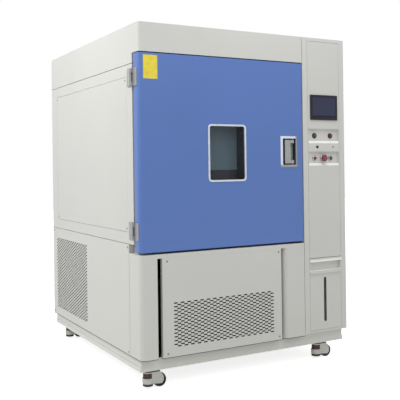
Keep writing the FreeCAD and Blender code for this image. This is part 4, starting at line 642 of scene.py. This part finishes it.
SCREEN_BORDER, BORDER_STEP, BEZEL_PROUD, BEZEL_ROUND = 0.0125, 0.0012, 0.008, 0.0025
GLASS_FRONT, GLASS_BACK, GLASS_ROUND = 0.0010, 0.004, 0.0004
DISPLAY_SIDE, DISPLAY_FOOT = 0.013, 0.026
low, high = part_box("hmi_panel")
screen_bezel = box_piece("screen_bezel", low, (high.x, low.y + BEZEL_PROUD, high.z), BEZEL_ROUND)
front_face = max((face for face in screen_bezel.data.polygons if face.normal.y < -0.99),
                 key=lambda face: face.area).index
bpy.ops.object.mode_set(mode="EDIT")
bpy.ops.mesh.select_mode(type="FACE")
bpy.ops.mesh.select_all(action="DESELECT")
bpy.ops.object.mode_set(mode="OBJECT")
screen_bezel.data.polygons[front_face].select = True
bpy.ops.object.mode_set(mode="EDIT")
bpy.ops.mesh.inset(thickness=SCREEN_BORDER, depth=0)
bpy.ops.mesh.inset(thickness=BORDER_STEP, depth=-BORDER_STEP)
bpy.ops.mesh.delete(type="FACE")
screen_grey = finish("screen_grey", MOULDED, (0.014, 0.014, 0.022), bump=0.1, Roughness=0.42)
set_gloss(screen_grey, 0.25)
complete(screen_bezel, screen_grey, "cabinet", replaces=["hmi_panel"])

screen_glass = box_piece("screen_glass",
                         (low.x + SCREEN_BORDER, low.y + GLASS_FRONT, low.z + SCREEN_BORDER),
                         (high.x - SCREEN_BORDER, low.y + GLASS_BACK, high.z - SCREEN_BORDER),
                         GLASS_ROUND, segments=1)
dark_glass = finish("dark_glass", MOULDED, (0.014, 0.014, 0.022), bump=0.01, Roughness=0.12)
set_gloss(dark_glass, 0.2)
patch(dark_glass, (low.x + DISPLAY_SIDE, None, low.z + DISPLAY_FOOT),
      (high.x - DISPLAY_SIDE, None, high.z - DISPLAY_SIDE), (0.038, 0.043, 0.088))
complete(screen_glass, dark_glass, "cabinet")


# Push buttons and lamp
# Plated or black collars on rubber rings in the trays, with moulded caps that slide in
# them. The alarm lamp has a red lens, and the buzzer is a black cup.

def turned(name, profile, place, toward, sides=32, ring=False):
    """A round piece, drawn out loop by loop from (radius, height) corners along its own axis."""
    bpy.ops.object.select_all(action="DESELECT")
    radius, level = profile[0]
    bpy.ops.mesh.primitive_circle_add(vertices=sides, radius=radius,
                                      fill_type="NOTHING" if ring else "NGON")
    piece = bpy.context.object
    piece.name = name
    extrude = bpy.ops.mesh.extrude_edges_move if ring else bpy.ops.mesh.extrude_region_move
    bpy.ops.object.mode_set(mode="EDIT")
    bpy.ops.mesh.select_mode(type="EDGE")
    bpy.ops.mesh.select_all(action="SELECT")
    bpy.ops.transform.translate(value=(0, 0, level))
    for wide, up in profile[1:]:
        extrude(TRANSFORM_OT_translate={"value": (0, 0, up - level)})
        if wide != radius:
            bpy.ops.transform.resize(value=(wide / radius, wide / radius, 1),
                                     center_override=(0, 0, up))
        radius, level = wide, up
    bpy.ops.mesh.select_all(action="SELECT")
    bpy.ops.mesh.remove_doubles(threshold=SAME_PLACE)
    bpy.ops.mesh.normals_make_consistent(inside=False)
    bpy.ops.object.mode_set(mode="OBJECT")
    turn = {"up": Matrix.Identity(4), "front": Matrix.Rotation(math.radians(90), 4, "X")}[toward]
    piece.data.transform(Matrix.Translation(place) @ turn)
    return piece


def paint_rim_shade(material, middles, radius, colour, blend=0.0006):
    """Painted shade outside a radius round each button's axis, at the edge of its cap."""
    tree = material.node_tree
    place = tree.nodes.new("ShaderNodeTexCoord").outputs["Object"]
    nearest = None
    for across, up in middles:
        flat = tree.nodes.new("ShaderNodeVectorMath")
        flat.operation = "MULTIPLY_ADD"
        flat.inputs[1].default_value = (1, 0, 1)
        flat.inputs[2].default_value = (-across, 0, -up)
        tree.links.new(place, flat.inputs[0])
        reach = tree.nodes.new("ShaderNodeVectorMath")
        reach.operation = "LENGTH"
        tree.links.new(flat.outputs[0], reach.inputs[0])
        away = reach.outputs["Value"]
        nearest = away if nearest is None else maths(tree, "MINIMUM", nearest, away)
    tint(material, spread_value(tree, nearest, 0.0, 1.0, radius - blend, radius + blend), colour)


chrome = finish("plated_collar", METAL_GRAIN, (0.70, 0.71, 0.71), bump=0.05, metallic=1.0,
                Roughness=0.22)
black_collar = finish("black_collar", MOULDED, (0.018, 0.022, 0.019), bump=0.1, Roughness=0.35)
green_cap = finish("green_cap", MOULDED, (0.030, 0.085, 0.045), bump=0.1, Roughness=0.30)
red_cap = finish("red_cap", MOULDED, (0.160, 0.020, 0.032), bump=0.1, Roughness=0.30)
mushroom_red = finish("mushroom_red", MOULDED, (0.300, 0.035, 0.075), bump=0.1, Roughness=0.35)
PANEL_MIDDLE, TRAY_FACE, CAP_RIM, MUSHROOM_RIM = 0.5395, -0.727, 0.0072, 0.0150
BUTTON_PLACES = [(-0.060, 1.360), (0.060, 1.360), (-0.060, 1.2245), (0.0, 1.2245), (0.060, 1.2245)]
middles = [(PANEL_MIDDLE + across, up) for across, up in BUTTON_PLACES]
# Painted shade: each cap is darker round its edge, where it sits in its collar.
paint_rim_shade(green_cap, middles, CAP_RIM, (0.012, 0.030, 0.018))
paint_rim_shade(red_cap, middles, CAP_RIM, (0.045, 0.008, 0.012))
paint_rim_shade(mushroom_red, middles, MUSHROOM_RIM, (0.110, 0.012, 0.030))
dress(green_cap, "start_button", "light_button")
dress(red_cap, "stop_button")
dress(mushroom_red, "emergency_stop")

COLLAR = [(0.0121, 0.0005), (0.0121, 0.0058), (0.0138, 0.0060), (0.0148, 0.0050), (0.0150, 0.0038),
          (0.0150, 0.0), (0.0121, 0.0), (0.0121, 0.0005)]
GASKET = [(0.0151, 0.0), (0.0151, 0.0012), (0.0163, 0.0012), (0.0166, 0.0008), (0.0166, 0.0),
          (0.0151, 0.0)]
BLACK_COLLARS, ALARM_LAMP, BUZZER_PLACE = (1, 2), 2, (PANEL_MIDDLE - 0.050, -0.743, 1.292)
for number, (across, up) in enumerate(middles, start=1):
    place = (across, TRAY_FACE, up)
    collar = turned("button_collar_%d" % number, COLLAR, place, "front", sides=40, ring=True)
    complete(collar, black_collar if number in BLACK_COLLARS else chrome, "cabinet",
             replaces=["panel_fittings"])
    gasket = turned("button_gasket_%d" % number, GASKET, place, "front", sides=40, ring=True)
    complete(gasket, black_collar, "cabinet")

LENS = [(0.0118, 0.001), (0.0118, 0.0060), (0.0110, 0.0080), (0.0080, 0.0096), (0.0035, 0.0102)]
across, up = middles[ALARM_LAMP]
lens_cap = turned("alarm_lens", LENS, (across, TRAY_FACE, up), "front")
lens_red = finish("lens_red", MOULDED, (0.140, 0.008, 0.025), bump=0.02, Roughness=0.12)
complete(lens_cap, lens_red, "cabinet")

BUZZER = [(0.0088, 0.0), (0.0088, 0.0014), (0.0080, 0.0024), (0.0032, 0.0024), (0.0030, 0.0006)]
buzzer = turned("buzzer_cup", BUZZER, BUZZER_PLACE, "front")
complete(buzzer, black_enamel, "cabinet")


# Water drawer
# Painted like the cabinet, with two folded lips for the fingers and a slot for the level
# gauge. The tank is blow moulded, and its front behind the slot is dark.

PULL_LOW, PULL_HIGH, PULL_FACE, GAUGE_FACE = 0.5545, 0.6025, -0.7300, -0.719
UPPER_LIP, LOWER_LIP, LIP_SHADOW, LIP_OVER = 0.014, 0.006, 0.004, 0.001
drawer_paint = cabinet_coat("drawer_paint")
# Painted highlight: the face of the upper finger lip is near white.
patch(drawer_paint, (None, None, PULL_HIGH), (None, PULL_FACE, PULL_HIGH + UPPER_LIP), LIP_HIGHLIGHT)
# Painted shadow: a dark line just under the upper lip.
patch(drawer_paint, (None, None, PULL_HIGH - LIP_SHADOW), (None, None, PULL_HIGH),
      (0.20, 0.20, 0.18))
# Painted highlight: the lower lip's edge is near white.
patch(drawer_paint, (None, None, PULL_LOW - LOWER_LIP), (None, PULL_FACE, PULL_LOW + LIP_OVER),
      LIP_HIGHLIGHT)
dress(drawer_paint, "water_drawer")
tank_skin = finish("tank_skin", MOULDED, (0.70, 0.72, 0.68), bump=0.2, Roughness=0.5)
patch(tank_skin, (None, None, None), (None, GAUGE_FACE, None), (0.012, 0.013, 0.014))
dress(tank_skin, "water_tank")


# Levelling casters
# A cast housing swivels under a black plate. Beside the nylon wheel stands the levelling
# foot: a rubber pad on a threaded stem, turned by a ribbed dark red dial in a cast apron.

HOUSING_TOP = 0.0865
caster_cast = finish("caster_cast", METAL_GRAIN, (0.50, 0.50, 0.455), bump=0.3, metallic=0.25,
                     Roughness=0.42)
# Painted shade: the housing's top, under the plate, is near black.
patch(caster_cast, (None, None, HOUSING_TOP), (None, None, None), (0.02, 0.02, 0.02))
caster_nylon = finish("caster_nylon", MOULDED, (0.018, 0.018, 0.019), bump=0.3, Roughness=0.40)
plate_black = finish("plate_black", METAL_GRAIN, (0.05, 0.05, 0.05), bump=0.2, metallic=0.6,
                     Roughness=0.5)
dial_red = finish("dial_red", MOULDED, (0.040, 0.006, 0.006), bump=0.2, Roughness=0.50)
stem_zinc = finish("stem_zinc", METAL_GRAIN, (0.45, 0.45, 0.44), bump=0.2, metallic=0.9,
                   Roughness=0.35)
dress(plate_black, "caster_plates")
DIAL_RADIUS, DIAL_RIBS, RIB_DEPTH = 0.026, 20, 0.0009
THREAD_CREST, THREAD_ROOT = 0.007984, 0.00688
THREAD_LOW, THREAD_STEP, THREAD_STEPS = 0.011, 0.00265, 28
PAD = [(0.0255, 0.0), (0.0275, 0.0012), (0.028, 0.003), (0.028, 0.0095), (0.0265, 0.0115),
       (0.0240, 0.012), (0.0100, 0.0118)]
THREAD = [(THREAD_CREST if step % 2 else THREAD_ROOT, THREAD_LOW + step * THREAD_STEP)
          for step in range(THREAD_STEPS)]
DIAL = [(0.0225, 0.0460), (DIAL_RADIUS, 0.0475), (DIAL_RADIUS, 0.0645), (0.0225, 0.0660)]
APRON = [(0.0271, 0.0262), (0.0290, 0.0258), (0.0298, 0.0275), (0.0298, 0.0540), (0.0290, 0.0555),
         (0.0276, 0.0555), (0.0271, 0.0540), (0.0271, 0.0262)]
for corner in ("front_left", "front_right", "rear_left", "rear_right"):
    dress(caster_cast, corner + "_caster_housing")
    dress(caster_nylon, corner + "_caster_wheel")
    low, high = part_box(corner + "_levelling_foot")
    centre = ((low.x + high.x) / 2, (low.y + high.y) / 2, low.z)
    body = corner + "_foot"
    pad = turned(corner + "_foot_pad", PAD, centre, "up", sides=48)
    complete(pad, black_rubber, body, replaces=[corner + "_levelling_foot"])
    stem = turned(corner + "_foot_stem", THREAD, centre, "up", sides=24)
    complete(stem, stem_zinc, body)
    dial = turned(corner + "_foot_dial", DIAL, centre, "up", sides=4 * DIAL_RIBS)
    for vertex in dial.data.vertices:
        out = Vector((vertex.co.x - centre[0], vertex.co.y - centre[1], 0))
        if out.length > DIAL_RADIUS - RIB_DEPTH:
            turn = math.atan2(out.y, out.x) * DIAL_RIBS
            vertex.co -= out.normalized() * RIB_DEPTH * (1 - math.cos(turn))
    complete(dial, dial_red, body)
    apron = turned(corner + "_foot_apron", APRON, (centre[0], centre[1], 0), "up", sides=64,
                   ring=True)
    complete(apron, caster_cast, corner + "_caster")


# Cover flanges
# The lower edges of the right cover and the back panel have a strip behind them that closes
# the slit above the plinth.

FLANGE_OUTER, FLANGE_INNER, FLANGE_END = 0.0025, 0.0055, 0.02
FLANGE_OVER, FLANGE_TALL, FLANGE_ROUND = 0.002, 0.012, 0.0006
flange_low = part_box("base_frame")[1].z - FLANGE_OVER
for sheet, across, along in (("right_cover", 0, 1), ("back_panel", 1, 0)):
    sheet_low, sheet_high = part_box(sheet)
    low, high = Vector((0, 0, flange_low)), Vector((0, 0, sheet_low.z + FLANGE_TALL))
    low[across], high[across] = sheet_high[across] - FLANGE_INNER, sheet_high[across] - FLANGE_OUTER
    low[along], high[along] = sheet_low[along] + FLANGE_END, sheet_high[along] - FLANGE_END
    flange = box_piece(sheet + "_flange", low, high, FLANGE_ROUND, segments=1)
    complete(flange, cabinet_paint, "cabinet")


# Blank label
# A plain yellow card stuck to the door's upper corner beside the hinge, with nothing on
# it. It rides the door.

CARD_LOW, CARD_HIGH, CARD_ROUND = (-0.6485, -0.7434, 1.648), (-0.5665, -0.7428, 1.773), 0.0002
label = box_piece("blank_label", CARD_LOW, CARD_HIGH, CARD_ROUND, segments=1)
label_card = finish("label_card", MOULDED, (0.860, 0.700, 0.050), bump=0.05, Roughness=0.45)
complete(label, label_card, "door")
